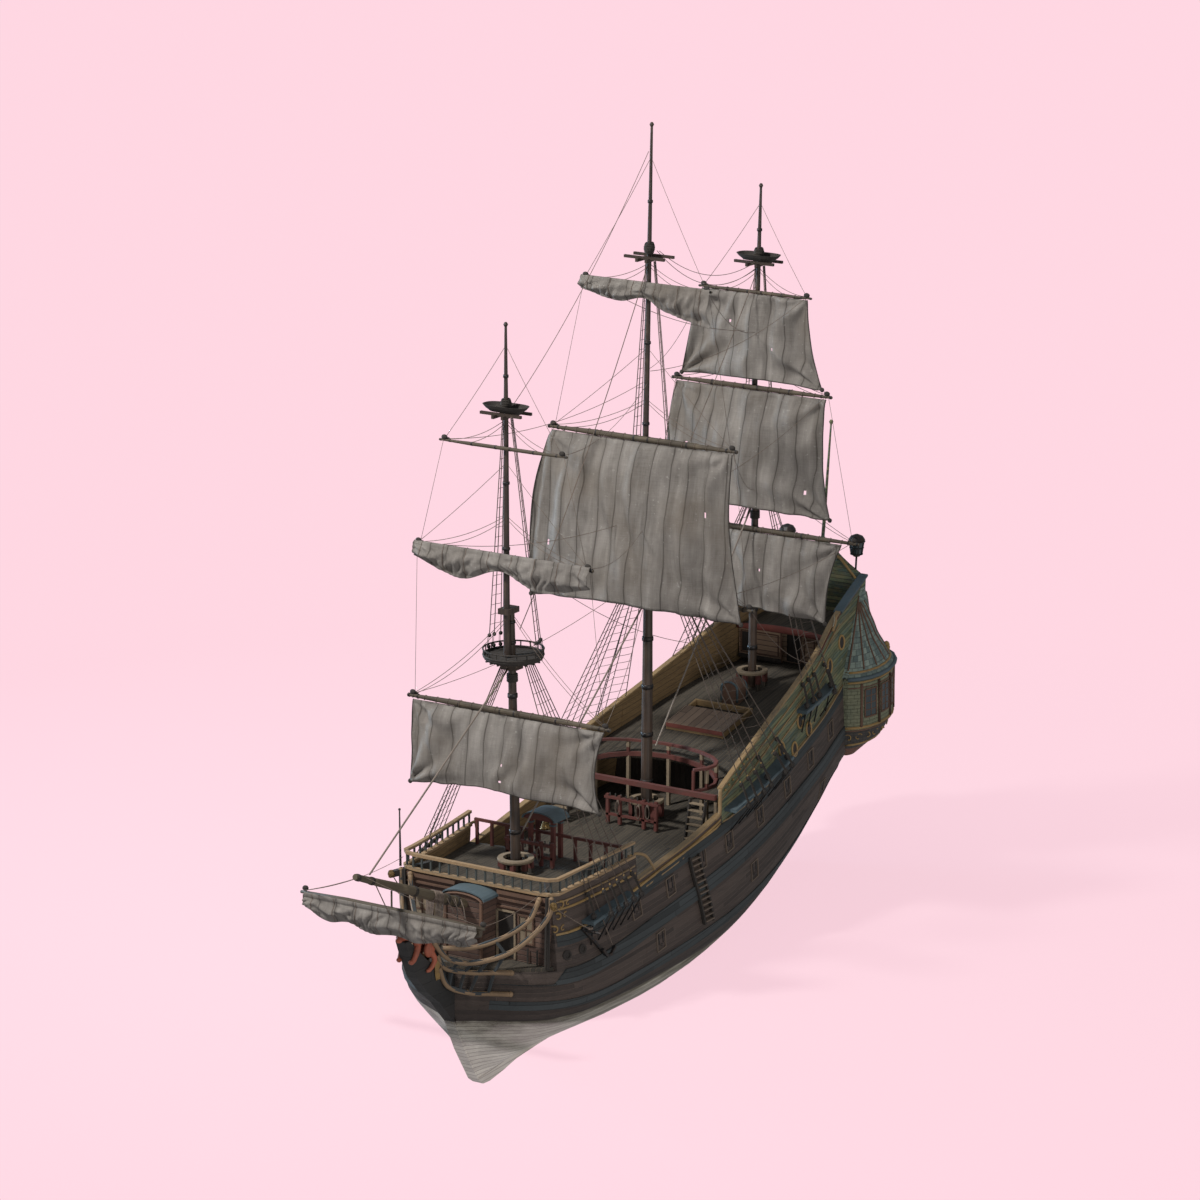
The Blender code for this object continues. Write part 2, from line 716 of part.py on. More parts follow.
def build_figurehead():
    """A crouching beast of no known kind on the knee's top, head forward."""
    rows = (
        (-15.92, 3.30, 0.10, 0.14), (-15.78, 3.42, 0.20, 0.26), (-15.50, 3.62, 0.26, 0.34),
        (-15.18, 3.78, 0.22, 0.30), (-14.85, 3.62, 0.27, 0.34), (-14.50, 3.32, 0.28, 0.34),
        (-14.15, 2.98, 0.24, 0.30), (-13.90, 2.72, 0.12, 0.16),
    )
    rings = []
    for y, z, wide, tall in rows:
        turn = [2 * math.pi * k / 10 for k in range(10)]
        rings.append([(wide * math.cos(t), y - 0.35 * tall * math.sin(t), z + 0.28 + tall * math.sin(t))
                      for t in turn])
    body = loft("figurehead", rings, "red")
    knee = profile_x("knee", list(KNEE_TOP) + [(-15.95, 3.9), (-16.3, 3.0), (-15.5, 1.0), (-12.86, 0.5)],
                     0.6, "red")
    knee.location = (0, 0, SEAT)
    cut("figurehead", [body, knee])


# Forecastle rail: its plan line, port half from the bow middle to the after end: x, y, z
FORECASTLE_RAIL = (
    (0.0, -11.16, 5.20), (2.60, -11.16, 5.20), (3.00, -11.08, 5.20), (3.22, -10.86, 5.20),
    (3.24, -10.30, 5.21), (3.32, -9.00, 5.26), (3.42, -7.70, 5.34), (3.52, -6.40, 5.44),
)
STANCHION = 0.05


def rail_line(rows, side):
    return [(side * x, y, z) for x, y, z in rows]


def build_forecastle_rail():
    """The tan rail round the forecastle on its stanchions, over a lower rail."""
    port = [Vector(p) for p in FORECASTLE_RAIL]
    starboard = [Vector((-p.x, p.y, p.z)) for p in reversed(port[1:])]
    line = starboard + port
    top = bar("forecastle_rail", line, 0.16, 0.10, "tan")
    low = [Vector((p.x, p.y, sill(p))) for p in line]
    pieces = [top, bar("low", low, 0.20, 0.09, "tan")]
    total = sum((b - a).length for a, b in zip(line[:-1], line[1:]))
    count = 40
    for k in range(count + 1):
        place = along(line, total * (0.004 + 0.992 * k / count))
        foot = sill(place)
        pieces.append(box("stanchion", (place.x - 0.03, place.y - 0.03, foot - 0.01),
                          (place.x + 0.03, place.y + 0.03, place.z), "tan"))
    union("forecastle_rail", pieces, "tan")


def sill(p):
    """Height of the lower rail's middle under a point of the upper rail."""
    return rail_top(max(BEAK_Y, min(FORECASTLE_AFT_Y, p.y))) + 0.048


def along(line, distance):
    for a, b in zip(line[:-1], line[1:]):
        length = (b - a).length
        if distance <= length:
            return a.lerp(b, distance / length)
        distance -= length
    return line[-1]


BELL_Z = 5.8494


def build_belfry():
    """Rail across the after end of the forecastle, with the belfry in its middle."""
    y = FORECASTLE_AFT_Y + 0.10 - 0.24
    pieces = [box("belfry", (-3.20, y - 0.05, 5.20), (3.20, y + 0.05, 5.30), "tan")]
    for x in (-3.10, -2.45, -1.80, -1.15, 1.15, 1.80, 2.45, 3.10):
        low = stand_on("forecastle_deck", x, y, 0.05)
        pieces.append(box("post", (x - 0.05, y - 0.05, low), (x + 0.05, y + 0.05, 5.24), "tan"))
    for x in (-0.48, 0.48):
        for off in (-0.42, 0.05):
            low = stand_on("forecastle_deck", x, y + off, 0.07)
            pieces.append(box("post", (x - 0.07, y + off - 0.07, low), (x + 0.07, y + off + 0.07, 5.92), "red"))
    for x in (-0.85, 0.85):
        pieces.append(box("arm", (min(x, 0) - 0.30 * (x < 0), y - 0.045, 5.205),
                          (max(x, 0) + 0.30 * (x > 0), y + 0.045, 5.295), "tan"))
    roof = []
    for k in range(7):
        turn = math.pi * k / 6
        roof.append((0.66 * math.cos(turn), 5.88 + 0.26 * math.sin(turn)))
    rings = [[(x, yy, z) for x, z in roof] for yy in (y - 0.62, y + 0.25)]
    pieces.append(loft("roof", rings, "blue"))
    union("belfry", pieces)
    bell_y = y - 0.185
    yoke = rod("yoke", [(-0.10, bell_y, BELL_Z), (0.10, bell_y, BELL_Z)], [0.03, 0.03], "brass", 12)
    rows = ((5.84, 0.03), (5.78, 0.05), (5.74, 0.10), (5.62, 0.14), (5.50, 0.18), (5.46, 0.21))
    rings = []
    for z, r in rows:
        rings.append([(r * math.cos(2 * math.pi * k / 12), bell_y + r * math.sin(2 * math.pi * k / 12), z)
                      for k in range(12)])
    solid = union("bell", [loft("bell", rings, "brass"), yoke])
    hollow = []
    for z, r in ((5.44, 0.185), (5.50, 0.15), (5.62, 0.11), (5.70, 0.06)):
        hollow.append([(r * math.cos(2 * math.pi * k / 12), bell_y + r * math.sin(2 * math.pi * k / 12), z)
                       for k in range(12)])
    cut("bell", [solid, loft("hollow", hollow, "brass")])


def build_break():
    """Curved handrail and beam at the break of the quarterdeck, posts and the front beam."""
    curve = break_curve(0.10)
    handrail = [(x, y, 6.56 + 0.03 * y) for x, y in curve]
    beam_z = [(x, y, deck_edge("quarterdeck", max(y, BREAK_Y)) + 0.02 + 0.10 * (1 - (x / 3.2) ** 2))
              for x, y in curve]
    pieces = [bar("break_rail", handrail, 0.14, 0.09, "red")]
    pieces.append(bar("edge", beam_z, 0.12, 0.16, "red"))
    for i in (1, 3, 5, 7, 9, 11, 13):
        x, y = curve[i][0] * 0.997, curve[i][1] + 0.004
        low = stand_on("main_deck", x, y, 0.052)
        pieces.append(box("post", (x - 0.052, y - 0.052, low), (x + 0.052, y + 0.052, handrail[i][2] + 0.013), "tan"))
    front = BREAK_Y - 0.10
    wide = half(front, 5.7) - WALL - 0.02
    pieces.append(box("front", (-wide, front - 0.09, 5.62), (wide, front + 0.09, 5.80), "red"))
    for side in (-1, 1):
        x = side * abs(curve[0][0])
        y = curve[0][1]
        ends = [(x, y, handrail[0][2] - 0.02), (x, y - 0.02, 5.70)]
        pieces.append(bar("end", ends, 0.09, 0.09, "tan"))
        pieces.append(box("tie", (x - 0.07, front - 0.02, 5.66), (x + 0.07, y + 0.03, 5.77), "red"))
    union("break_rail", pieces)


def build_cabin_front():
    """The wall under the quarterdeck at the recess's after end."""
    rings = []
    for y in (CABIN_Y - 0.13, CABIN_Y - SEAT - 0.005):
        low = deck_edge("main_deck", CABIN_Y) + 0.13 + 0.0006
        high = deck_edge("quarterdeck", CABIN_Y - 0.13) - PLANK - 0.0004
        x0 = half(y, low) - WALL - 0.03
        x1 = half(y, high) - WALL - 0.03
        rings.append([(-x0, y, low), (x0, y, low), (x1, y, high), (-x1, y, high)])
    loft("cabin_front", rings, "tan")


def build_poop():
    """The wall under the poop deck's fore edge, with its door."""
    low = deck_edge("quarterdeck", POOP_WALL_Y) + 0.15 + 0.0006
    high = deck_edge("poop_deck", POOP_WALL_Y) - PLANK - 0.0004
    y1 = POOP_WALL_Y + lean(POOP_WALL_Y, low) - 0.04
    y0 = y1 - 0.11
    x0 = half(POOP_WALL_Y, low) - WALL - 0.05
    x1 = half(POOP_WALL_Y, high) - WALL - 0.05
    rings = [[(-x0, y, low), (x0, y, low), (x1, y, high), (-x1, y, high)] for y in (y0, y1)]
    wall = loft("poop_front", rings, "tan")
    hole = box("hole", (-0.05, y0 - 0.2, low + 0.03), (0.67, y1 + 0.2, high - 0.06), "tan")
    cut("poop_front", [wall, hole])
    box("poop_door", (-0.04, y0, low + 0.038), (0.6695, y0 + 0.05, high - 0.07), "hull")


CROWN_STEPS = 12


def taffrail(x):
    """Height of the arched top of the stern at a place across it."""
    return 11.05 + 1.25 * (1 - min(1.0, abs(x) / 1.84)) ** 1.3


def crown():
    """Points of the arch from port to starboard, its ends left out."""
    places = [1.84 * (1 - 2 * k / CROWN_STEPS) for k in range(1, CROWN_STEPS)]
    return [(x, taffrail(x)) for x in places]


def build_transom():
    """The flat stern above the solid hull, with its arched taffrail, and the flagstaff."""
    low = hull_top(TRANSOM_Y) + SEAT
    high = rail_top(TRANSOM_Y)
    edges = [(half(TRANSOM_Y, z) - WALL - SIDE_GAP, z) for z in (low, (low + high) / 2, high)]
    ring = edges + crown() + [(-x, z) for x, z in reversed(edges)]
    rings = []
    for offset in (-0.14, 0.0):
        rings.append([(x, TRANSOM_Y + offset + lean(TRANSOM_Y, z), z) for x, z in ring])
    board = loft("transom", rings, "green")
    staff = rod("staff", [(0, 12.58, 11.9), (0, 12.68, 12.6), (0, 13.16, 16.65)], [0.07, 0.07, 0.035], "spar")
    ball = rod("ball", [(0, 13.15, 16.6), (0, 13.165, 16.68), (0, 13.18, 16.76)], [0.05, 0.09, 0.05], "spar")
    union("transom", [board, staff, ball])


# Quarter gallery rings: z at the centre, centre x, centre y, half width, half length, tilt
GALLERY = (
    (4.20, 1.96, 11.35, 0.28, 0.36, 0.10),
    (4.65, 2.00, 11.50, 0.70, 0.95, 0.12),
    (5.05, 2.04, 11.65, 1.10, 1.32, 0.14),
    (5.70, 2.08, 11.80, 1.36, 1.52, 0.15),
    (7.45, 2.06, 11.85, 1.34, 1.52, 0.17),
    (7.66, 2.06, 11.85, 1.42, 1.60, 0.17),
    (7.84, 2.04, 11.87, 1.22, 1.42, 0.17),
    (8.70, 1.97, 11.95, 0.72, 0.95, 0.17),
    (9.60, 1.93, 12.10, 0.40, 0.55, 0.16),
    (10.60, 1.90, 12.25, 0.16, 0.24, 0.10),
)
GALLERY_SIDES = 20


def stern_skin():
    """A solid just larger than the hull, the bulwarks and the stern together."""
    rings = []
    for y in stations(9.0, TRANSOM_Y):
        low, widest_z, top = rabbet(y), faired(HULL_FORM, 3, y), hull_top(y)
        levels = [low + (widest_z - low) * i / LOWER_STEPS for i in range(LOWER_STEPS + 1)]
        levels += [widest_z + (top - widest_z) * i / UPPER_STEPS for i in range(1, UPPER_STEPS + 1)]
        base, high = top + SEAT, rail_top(y) + 0.02
        levels += [(base + rail_top(y)) / 2, high]
        grow = 0.0006 if y == TRANSOM_Y else 0.0
        port = []
        for z in levels:
            x, yy, zz = at(half(y, z) + 0.0006, y, z)
            port.append((x, yy + grow, zz))
        rings.append(port + mirrored(reversed(port)))
    return loft("skin", rings, "hull", True)


def build_galleries():
    """The round bays on both quarters, under their tall hollow roofs."""
    rings = []
    for z, x0, y0, wide, length, tilt in GALLERY:
        ring = []
        for k in range(GALLERY_SIDES):
            turn = 2 * math.pi * k / GALLERY_SIDES
            across = length * math.sin(turn)
            ring.append((x0 + wide * math.cos(turn), y0 + across, z + tilt * across))
        rings.append(ring)
    drum = loft("quarter_gallery_port", rings, "green")
    mirror_copy(cut("quarter_gallery_port", [drum, stern_skin()]), "quarter_gallery_starboard")


def pole(name, centres, radii, finish, sides=12):
    """A round pole whose rings are level."""
    rings = []
    for (x, y, z), r in zip(centres, radii):
        turn = [2 * math.pi * k / sides for k in range(sides)]
        rings.append([(x + r * math.cos(t), y + r * math.sin(t), z) for t in turn])
    return loft(name, rings, finish)


def topmast_gap(name, z):
    """How far a topmast stands forward of its mast's line: least at the truck."""
    y, deck, platform, cap, cross, truck, rake, radius = MASTS[name]
    full = radius * 0.74 + 0.15
    return full * min(1.0, (truck - z) / (truck - cap))


def build_masts():
    for name, row in MASTS.items():
        y, deck, platform, cap, cross, truck, rake, radius = row

        def axis(z, high=False):
            forward = topmast_gap(name, z) if high else 0.0
            return (0, y - forward + rake * (z - deck), z)

        foot_z = stand_on(DECK_OF[name], 0, y, radius)
        lower = pole("mast", [axis(foot_z), axis(deck + 4.0), axis(cap)],
                     [radius, radius * 0.96, radius * 0.68], "spar")
        pieces = [lower]
        hounds = axis(platform - 0.10)
        pieces.append(box("hounds", (-0.30, hounds[1] - 0.26, platform - 0.42),
                          (0.30, hounds[1] + 0.26, platform - 0.0905), "spar"))
        stay = stay_line(name)
        if stay:
            pieces.append(rod("stay", stay, [0.035] * len(stay), "rope", 6))
        union(name + "_lower_mast", pieces)
        build_top(name, axis(platform), radius * 0.76, platform)
        gap = topmast_gap(name, cap)
        heel = [axis(z, True) for z in (platform + 0.10, cap, cross, truck - 0.12)]
        upper = pole("topmast", heel, [0.13, 0.12, 0.085, 0.045], "spar")
        cap_y = axis(cap)[1]
        trunk = [upper]
        trunk.append(rod("truck", [axis(truck - rise, True) for rise in (0.16, 0.08, 0.0)],
                         [0.05, 0.085, 0.04], "spar", 8))
        trunk.append(box("cap", (-0.22, cap_y - gap - 0.22, cap + 0.0005), (0.22, cap_y + 0.20, cap + 0.20), "spar"))
        place = axis(cross, True)
        for dx in (-0.20, 0.20):
            trunk.append(box("tree", (dx - 0.05, place[1] - 0.55, cross - 0.06),
                             (dx + 0.05, place[1] + 0.55, cross + 0.06), "spar"))
        for dy in (-0.32, 0.32):
            trunk.append(box("tree", (-0.85, place[1] + dy - 0.05, cross + 0.02),
                             (0.85, place[1] + dy + 0.05, cross + 0.12), "spar"))
        trunk.append(box("tree", (-0.25, place[1] - 0.12, cross - 0.05), (0.25, place[1] + 0.12, cross + 0.05), "spar"))
        union(name + "_topmast", trunk)


TOP_AHEAD = {"fore": -0.10, "main": 0.04, "mizzen": 0.04}
TOP_R = {"fore": 1.08, "main": 1.10, "mizzen": 0.85}


def build_top(name, place, hole, z):
    """A round platform with a square hole for the mast."""
    radius = TOP_R[name]
    around = 20
    rings = []
    for level, r in ((-0.09, radius * 0.92), (0.0, radius), (0.06, radius)):
        rings.append([(r * math.cos(2 * math.pi * k / around),
                       place[1] - TOP_AHEAD[name] + r * math.sin(2 * math.pi * k / around), z + level)
                      for k in range(around)])
    disc = loft(name + "_top", rings, "spar")
    clear = hole + 0.02
    cut(name + "_top", [disc, box("hole", (-clear, place[1] - clear, z - 1), (clear, place[1] + clear, z + 1), "spar")])


def stay_line(name):
    """The main stay of a mast: from under its top, forward and down."""
    if name == "fore":
        return [(0, -8.90, 12.05), (0, -17.55, 6.62)]
    if name == "main":
        return [(0, -0.12, 12.45), (0, -8.49, 5.55)]
    return [(0, 7.42, 14.65), (0, 0.60, 6.75)]


# Bowsprit: y, z, radius, from the round-house to the tip
BOWSPRIT = ((-11.9503, 4.07, 0.19), (-14.0, 4.925, 0.17), (-16.2, 5.843, 0.14), (-18.40, 6.76, 0.10))


def build_bowsprit():
    rings = []
    for i, (y, z, r) in enumerate(BOWSPRIT):
        turn = [2 * math.pi * k / 12 for k in range(12)]
        slope = 0.417 if i else 0.0
        rings.append([(r * math.cos(t), y + slope * r * math.sin(t), z + r * math.sin(t)) for t in turn])
    loft("bowsprit", rings, "spar")


def mast_at(name, z, high):
    """Centre y and radius of a mast's piece at a height."""
    y, deck, platform, cap, cross, truck, rake, radius = MASTS[name]
    if high:
        levels = ((platform + 0.10, 0.13), (cap, 0.12), (cross, 0.085), (truck - 0.12, 0.045))
        return y - topmast_gap(name, z) + rake * (z - deck), straight(levels, 1, z)
    levels = ((deck, radius), (deck + 4.0, radius * 0.96), (cap, radius * 0.68))
    return y + rake * (z - deck), straight(levels, 1, z)


def build_spars():
    """Yards and their sails."""
    places = {}
    for name, mast, z, length, radius in YARDS:
        y, deck, platform, cap, cross, truck, rake, lower = MASTS[mast]
        high = z > platform + 0.3
        middle, thick = mast_at(mast, z, high)
        yard_y = middle - thick - radius - YARD_STANDOFF
        places[name] = (yard_y, z, radius)
        ends = [(-length, yard_y, z), (-length * 0.5, yard_y, z), (length * 0.5, yard_y, z), (length, yard_y, z)]
        yard = rod(name, ends, [radius * 0.45, radius * 0.92, radius * 0.92, radius * 0.45], "spar", 12)
        fronts = [mast_at(mast, z + rise, high) for rise in (-0.04, 0.04)]
        face = min(middle - thick for middle, thick in fronts) - 0.0005
        saddle = box("saddle", (-0.13, yard_y, z - 0.04), (0.13, face, z + 0.04), "spar")
        union(name, [yard, saddle])
    for name, yard, top, foot, foot_z, belly, rise in SET_SAILS:
        yard_y, z, radius = places[yard]
        set_sail(name, yard_y - SAIL_THICK / 2, z - radius * 0.92 - 0.0006, top, foot, foot_z, belly, rise)
    for name, yard, wide, edge in FURLED_SAILS:
        yard_y, z, radius = places[yard]
        ahead = max(0.0, 0.20 - radius)
        furled_sail(name, yard_y - ahead, z - radius * 0.92 - 0.0006, wide, edge, 0.14)


def set_sail(name, y, z, top, foot, foot_z, belly, rise):
    """A set sail: a thin curved sheet that bellies forward under its yard."""
    across, down = 10, 6
    sides = []
    for offset in (0.0, SAIL_THICK):
        grid = []
        for j in range(down + 1):
            t = j / down
            for i in range(across + 1):
                u = 2 * i / across - 1
                wide = top + (foot - top) * t
                x = u * wide * (1 - 0.06 * math.sin(math.pi * t))
                drop = foot_z + rise * (1 - u * u) * t
                height = z + (drop - z) * t
                depth = belly * t ** 0.7 * (1.35 - 0.55 * t) * (1 - 0.75 * u * u)
                grid.append((x, y - depth + offset, height))
        sides.append(grid)
    count = len(sides[0])
    wide = across + 1
    faces = []
    for j in range(down):
        for i in range(across):
            a = j * wide + i
            quad = (a, a + 1, a + wide + 1, a + wide)
            faces.append(quad)
            faces.append(tuple(count + k for k in reversed(quad)))
    rim = [i for i in range(wide)]
    rim += [j * wide + across for j in range(1, down + 1)]
    rim += [down * wide + i for i in range(across - 1, -1, -1)]
    rim += [j * wide for j in range(down - 1, 0, -1)]
    for a, b in zip(rim, rim[1:] + rim[:1]):
        faces.append((a, b, count + b, count + a))
    add_object(name, sides[0] + sides[1], faces, "canvas")


def furled_sail(name, y, z, wide, edge, thick):
    """A gathered sail that hangs in a few bights below its yard."""
    rings = []
    steps = 16
    for k in range(steps + 1):
        u = 2 * k / steps - 1
        drop = faired(edge, 1, u)
        deep = thick * (0.6 + 0.4 * math.cos(u * math.pi / 2))
        rings.append([(u * wide, y - deep, z - 0.04), (u * wide, y + deep, z - 0.04),
                      (u * wide, y + deep * 0.9, z - drop * 0.6), (u * wide, y, z - drop),
                      (u * wide, y - deep * 1.1, z - drop * 0.6)])
    rings = [[Vector(p) for p in ring] for ring in rings]
    made = loft(name, rings, "canvas")
    for vert in made.data.vertices:
        if vert.co.z > z - 0.05:
            vert.co.z = z
    return made


def spar_under(y):
    """Height just under the bowsprit at a section."""
    middle = straight([(-row[0], row[1], row[2]) for row in BOWSPRIT], 1, -y)
    thick = straight([(-row[0], row[1], row[2]) for row in BOWSPRIT], 2, -y)
    return middle - thick * 1.176 - 0.035 * 0.45 - 0.0006


SPRIT_Y = -16.28
SPRIT_Z = 5.00


def build_spritsail():
    yard = rod("spritsail_yard", [(-3.85, SPRIT_Y, SPRIT_Z), (-1.9, SPRIT_Y, SPRIT_Z), (1.9, SPRIT_Y, SPRIT_Z),
                           (3.85, SPRIT_Y, SPRIT_Z)], [0.05, 0.11, 0.11, 0.05], "spar", 10)
    edge = ((-1.0, 0.25), (-0.55, 0.62), (0.0, 0.72), (0.5, 0.66), (1.0, 0.25))
    sail = furled_sail("spritsail", SPRIT_Y, SPRIT_Z - 0.06, 3.72, edge, 0.13)
    under = spar_under(SPRIT_Y)
    sling = rod("sling", [(0, SPRIT_Y, SPRIT_Z), (0, SPRIT_Y, under)], [0.035, 0.035], "iron", 8)
    union("spritsail_yard", [yard, sail, sling])


PINTLE = 0.05
# Rudder: z and length aft of its axis
RUDDER = ((1.98, 0.30), (2.30, 0.52), (2.80, 0.80), (3.40, 0.70), (4.24, 0.42))
PINTLES_Z = (2.20, 3.10, 4.00)


def rudder_axis(z):
    return post_face(z) + PINTLE + 0.0008


def build_rudder():
    """The rudder, with a bearded fore edge and three pintles on its leaning axis."""
    rings = []
    for z, length in RUDDER:
        y = rudder_axis(z)
        plan = ((-0.034, -0.034), (0.034, -0.034), (0.11, 0.09), (0.09, length), (-0.09, length), (-0.11, 0.09))
        rings.append([(x, y + dy, z) for x, dy in plan])
    pieces = [loft("rudder", rings, "hull")]
    for z in PINTLES_Z:
        ends = [(0, rudder_axis(z + d), z + d) for d in (-0.14, 0.14)]
        pieces.append(rod("pintle", ends, [PINTLE, PINTLE], "iron", 16))
    union("rudder", pieces)


def build_lanterns():
    """Iron lanterns at the two corners of the taffrail."""
    for name, side in (("stern_lantern_port", 1), ("stern_lantern_starboard", -1)):
        x = side * 1.55
        foot = straight([(x, z) for x, z in reversed(crown())], 1, 1.51) + 0.0008
        y = TRANSOM_Y + lean(TRANSOM_Y, foot) - 0.07
        staff = rod("staff", [(x, y, foot), (x, y + 0.05, foot + 0.55)], [0.04, 0.04], "iron", 8)
        rows = ((foot + 0.50, 0.12), (foot + 0.58, 0.20), (foot + 1.12, 0.29), (foot + 1.16, 0.33),
                (foot + 1.30, 0.24), (foot + 1.38, 0.05))
        rings = []
        for z, r in rows:
            rings.append([(x + r * math.cos(2 * math.pi * k / 12), y + 0.05 + r * math.sin(2 * math.pi * k / 12), z)
                          for k in range(12)])
        union(name, [staff, loft("body", rings, "iron")])


def build_companion():
    """A small arched hood over the steps abaft the hatch."""
    rings = []
    crest = deck_edge("quarterdeck", 6.0) + 0.15 + 0.62
    for y in (5.80, 6.45):
        deck = deck_edge("quarterdeck", y) + 0.15 + 0.0008
        outline = [(-0.34, deck), (0.34, deck), (0.34, crest)]
        for k in range(1, 6):
            turn = math.pi * k / 6
            outline.append((0.34 * math.cos(turn), crest + 0.26 * math.sin(turn)))
        outline.append((-0.34, crest))
        rings.append([(x, y, z) for x, z in outline])
    loft("companion_hood", rings, "red")


# Anchor, port: shank from the ring to the crown, x measured out from the side
ANCHOR_RING = (0.16, -9.98, 3.28)
ANCHOR_CROWN = (0.0634, -8.80, 1.98)


def build_anchors():
    """An anchor hung flat along each side under the fore channel's fore end."""
    for name, side in (("anchor_port", 1), ("anchor_starboard", -1)):
        ends = []
        for off, y, z in (ANCHOR_RING, ANCHOR_CROWN):
            ends.append(Vector((side * (half(y, z) + off), y, z)))
        ring, crown = ends
        shank = rod("shank", [ring, crown], [0.055, 0.07], "iron", 8)
        mid = ring.lerp(crown, 0.08)
        stock = rod("stock", [mid + Vector((side * 0.62, 0.10, -0.04)), mid + Vector((-side * 0.05, 0, 0))],
                    [0.05, 0.06], "spar", 6)
        arms = bar("arms", [crown + Vector((side * 0.03, -0.36, 0.34)), crown + Vector((side * 0.03, -0.14, 0.08)),
                            crown, crown + Vector((side * 0.03, 0.20, 0.02)),
                            crown + Vector((side * 0.03, 0.44, 0.24))], 0.10, 0.10, "iron")
        union(name, [shank, stock, arms])


build_hull()
build_keel()
build_bulwarks()
build_decks()
build_hatch()
build_beakhead()
build_head()
build_figurehead()
build_forecastle_rail()
build_belfry()
build_break()
build_cabin_front()
build_poop()
build_transom()
build_galleries()
build_masts()
build_bowsprit()
build_spars()
build_spritsail()
build_rudder()
build_lanterns()
build_companion()
build_anchors()
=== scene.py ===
"""Looks of the pinnace: finishes, sails, rigging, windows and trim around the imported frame."""
import math

import bpy
from mathutils import Matrix, Vector, noise
from mathutils.bvhtree import BVHTree


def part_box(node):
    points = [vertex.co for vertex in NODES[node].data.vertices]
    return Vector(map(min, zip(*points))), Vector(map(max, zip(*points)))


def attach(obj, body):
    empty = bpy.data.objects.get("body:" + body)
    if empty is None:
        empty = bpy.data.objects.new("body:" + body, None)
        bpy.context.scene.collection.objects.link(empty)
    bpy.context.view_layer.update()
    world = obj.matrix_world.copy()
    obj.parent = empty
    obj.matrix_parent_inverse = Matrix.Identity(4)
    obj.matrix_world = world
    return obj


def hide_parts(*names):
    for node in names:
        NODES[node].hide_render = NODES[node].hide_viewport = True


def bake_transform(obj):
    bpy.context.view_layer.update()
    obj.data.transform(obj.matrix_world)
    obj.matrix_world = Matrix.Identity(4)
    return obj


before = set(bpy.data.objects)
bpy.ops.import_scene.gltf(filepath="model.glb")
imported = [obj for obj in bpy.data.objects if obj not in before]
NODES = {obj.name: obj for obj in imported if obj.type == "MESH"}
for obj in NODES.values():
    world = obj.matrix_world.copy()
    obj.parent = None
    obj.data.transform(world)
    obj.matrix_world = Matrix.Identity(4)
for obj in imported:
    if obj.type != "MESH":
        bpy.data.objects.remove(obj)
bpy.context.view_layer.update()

# The photograph's view: a long lens, 180 m away
AZIMUTH, ELEVATION, DISTANCE = math.radians(33.0), math.radians(14.5), 180.0
AIM = Vector((0.0, -3.17, 13.14))
LENS, SENSOR = 150.0, 36.0

# Masts as in the frame: y at the deck, deck, platform, cap, crosstrees, truck, rake, radius
MASTS = {
    "fore": (-8.66, 4.37, 12.30, 13.95, 21.05, 24.33, -0.024, 0.18),
    "main": (-0.03, 4.06, 14.20, 16.10, 25.11, 30.03, 0.010, 0.21),
    "mizzen": (7.42, 7.50, 14.90, 16.40, 23.74, 26.73, 0.020, 0.16),
}
TOP_R = {"fore": 1.08, "main": 1.10, "mizzen": 0.85}
# Yards: mast, height, half length, radius
YARDS = {
    "fore_course": ("fore", 10.35, 4.30, 0.125),
    "fore_topsail": ("fore", 16.05, 3.78, 0.115),
    "fore_topgallant": ("fore", 19.91, 2.68, 0.075),
    "main_course": ("main", 12.75, 4.75, 0.135),
    "main_topsail": ("main", 18.56, 4.06, 0.120),
    "main_topgallant": ("main", 24.20, 2.80, 0.080),
    "mizzen_course": ("mizzen", 13.66, 4.70, 0.115),
    "mizzen_topsail": ("mizzen", 19.11, 3.50, 0.105),
    "mizzen_topgallant": ("mizzen", 22.69, 2.46, 0.075),
}
# Set sails: head half width, foot half width, foot height, belly, rise of the foot
SET_SAILS = {
    "fore_course": (4.05, 3.95, 7.30, 0.75, 0.30),
    "main_topsail": (3.85, 4.45, 12.30, 1.35, 0.30),
    "mizzen_course": (3.95, 3.35, 10.45, 0.55, 0.25),
    "mizzen_topsail": (3.25, 3.60, 14.50, 1.10, 0.20),
    "mizzen_topgallant": (2.28, 3.05, 19.35, 0.50, 0.15),
}
# Furled sails: half width, then the drop of the lower edge across the yard
FURLED = {
    "fore_topsail": (3.70, ((-1.0, 0.35), (-0.45, 0.92), (0.0, 0.45), (0.42, 1.00), (1.0, 0.60))),
    "main_topgallant": (2.75, ((-1.0, 0.35), (-0.40, 0.66), (0.0, 0.45), (0.30, 0.85), (1.0, 1.30))),
}

# Lines along the side, as (y, z) rows: three wales and the top of the planked side
WALE_TOP = ((-10.9, 2.95), (-9, 3.12), (-6.4, 3.62), (-4.5, 4.0), (-0.4, 4.60), (2.04, 4.92), (4.54, 5.38),
            (6.78, 5.90), (8.91, 6.45), (10.4, 6.95))
WALE_MID = ((-12.3, 1.72), (-11, 1.68), (-9, 1.85), (-5.5, 2.40), (-0.8, 3.05), (4, 3.88), (8, 4.72),
            (10.9, 5.45))
WALE_LOW = ((-12.3, 0.66), (-9, 0.66), (-5.5, 0.86), (0, 1.34), (4, 1.98), (8, 2.88), (10.9, 3.75))
RAIL_FORE = ((-10.95, 4.62), (-8.5, 4.72), (-6.46, 4.90))
RAIL_WAIST = ((-6.38, 4.05), (-3.5, 4.55), (-0.86, 5.08))
RAIL_AFT = ((-0.76, 6.0), (1.3, 6.8), (3.2, 7.42), (5.4, 8.1), (7.4, 8.78), (9.0, 9.43), (10.3, 10.0))
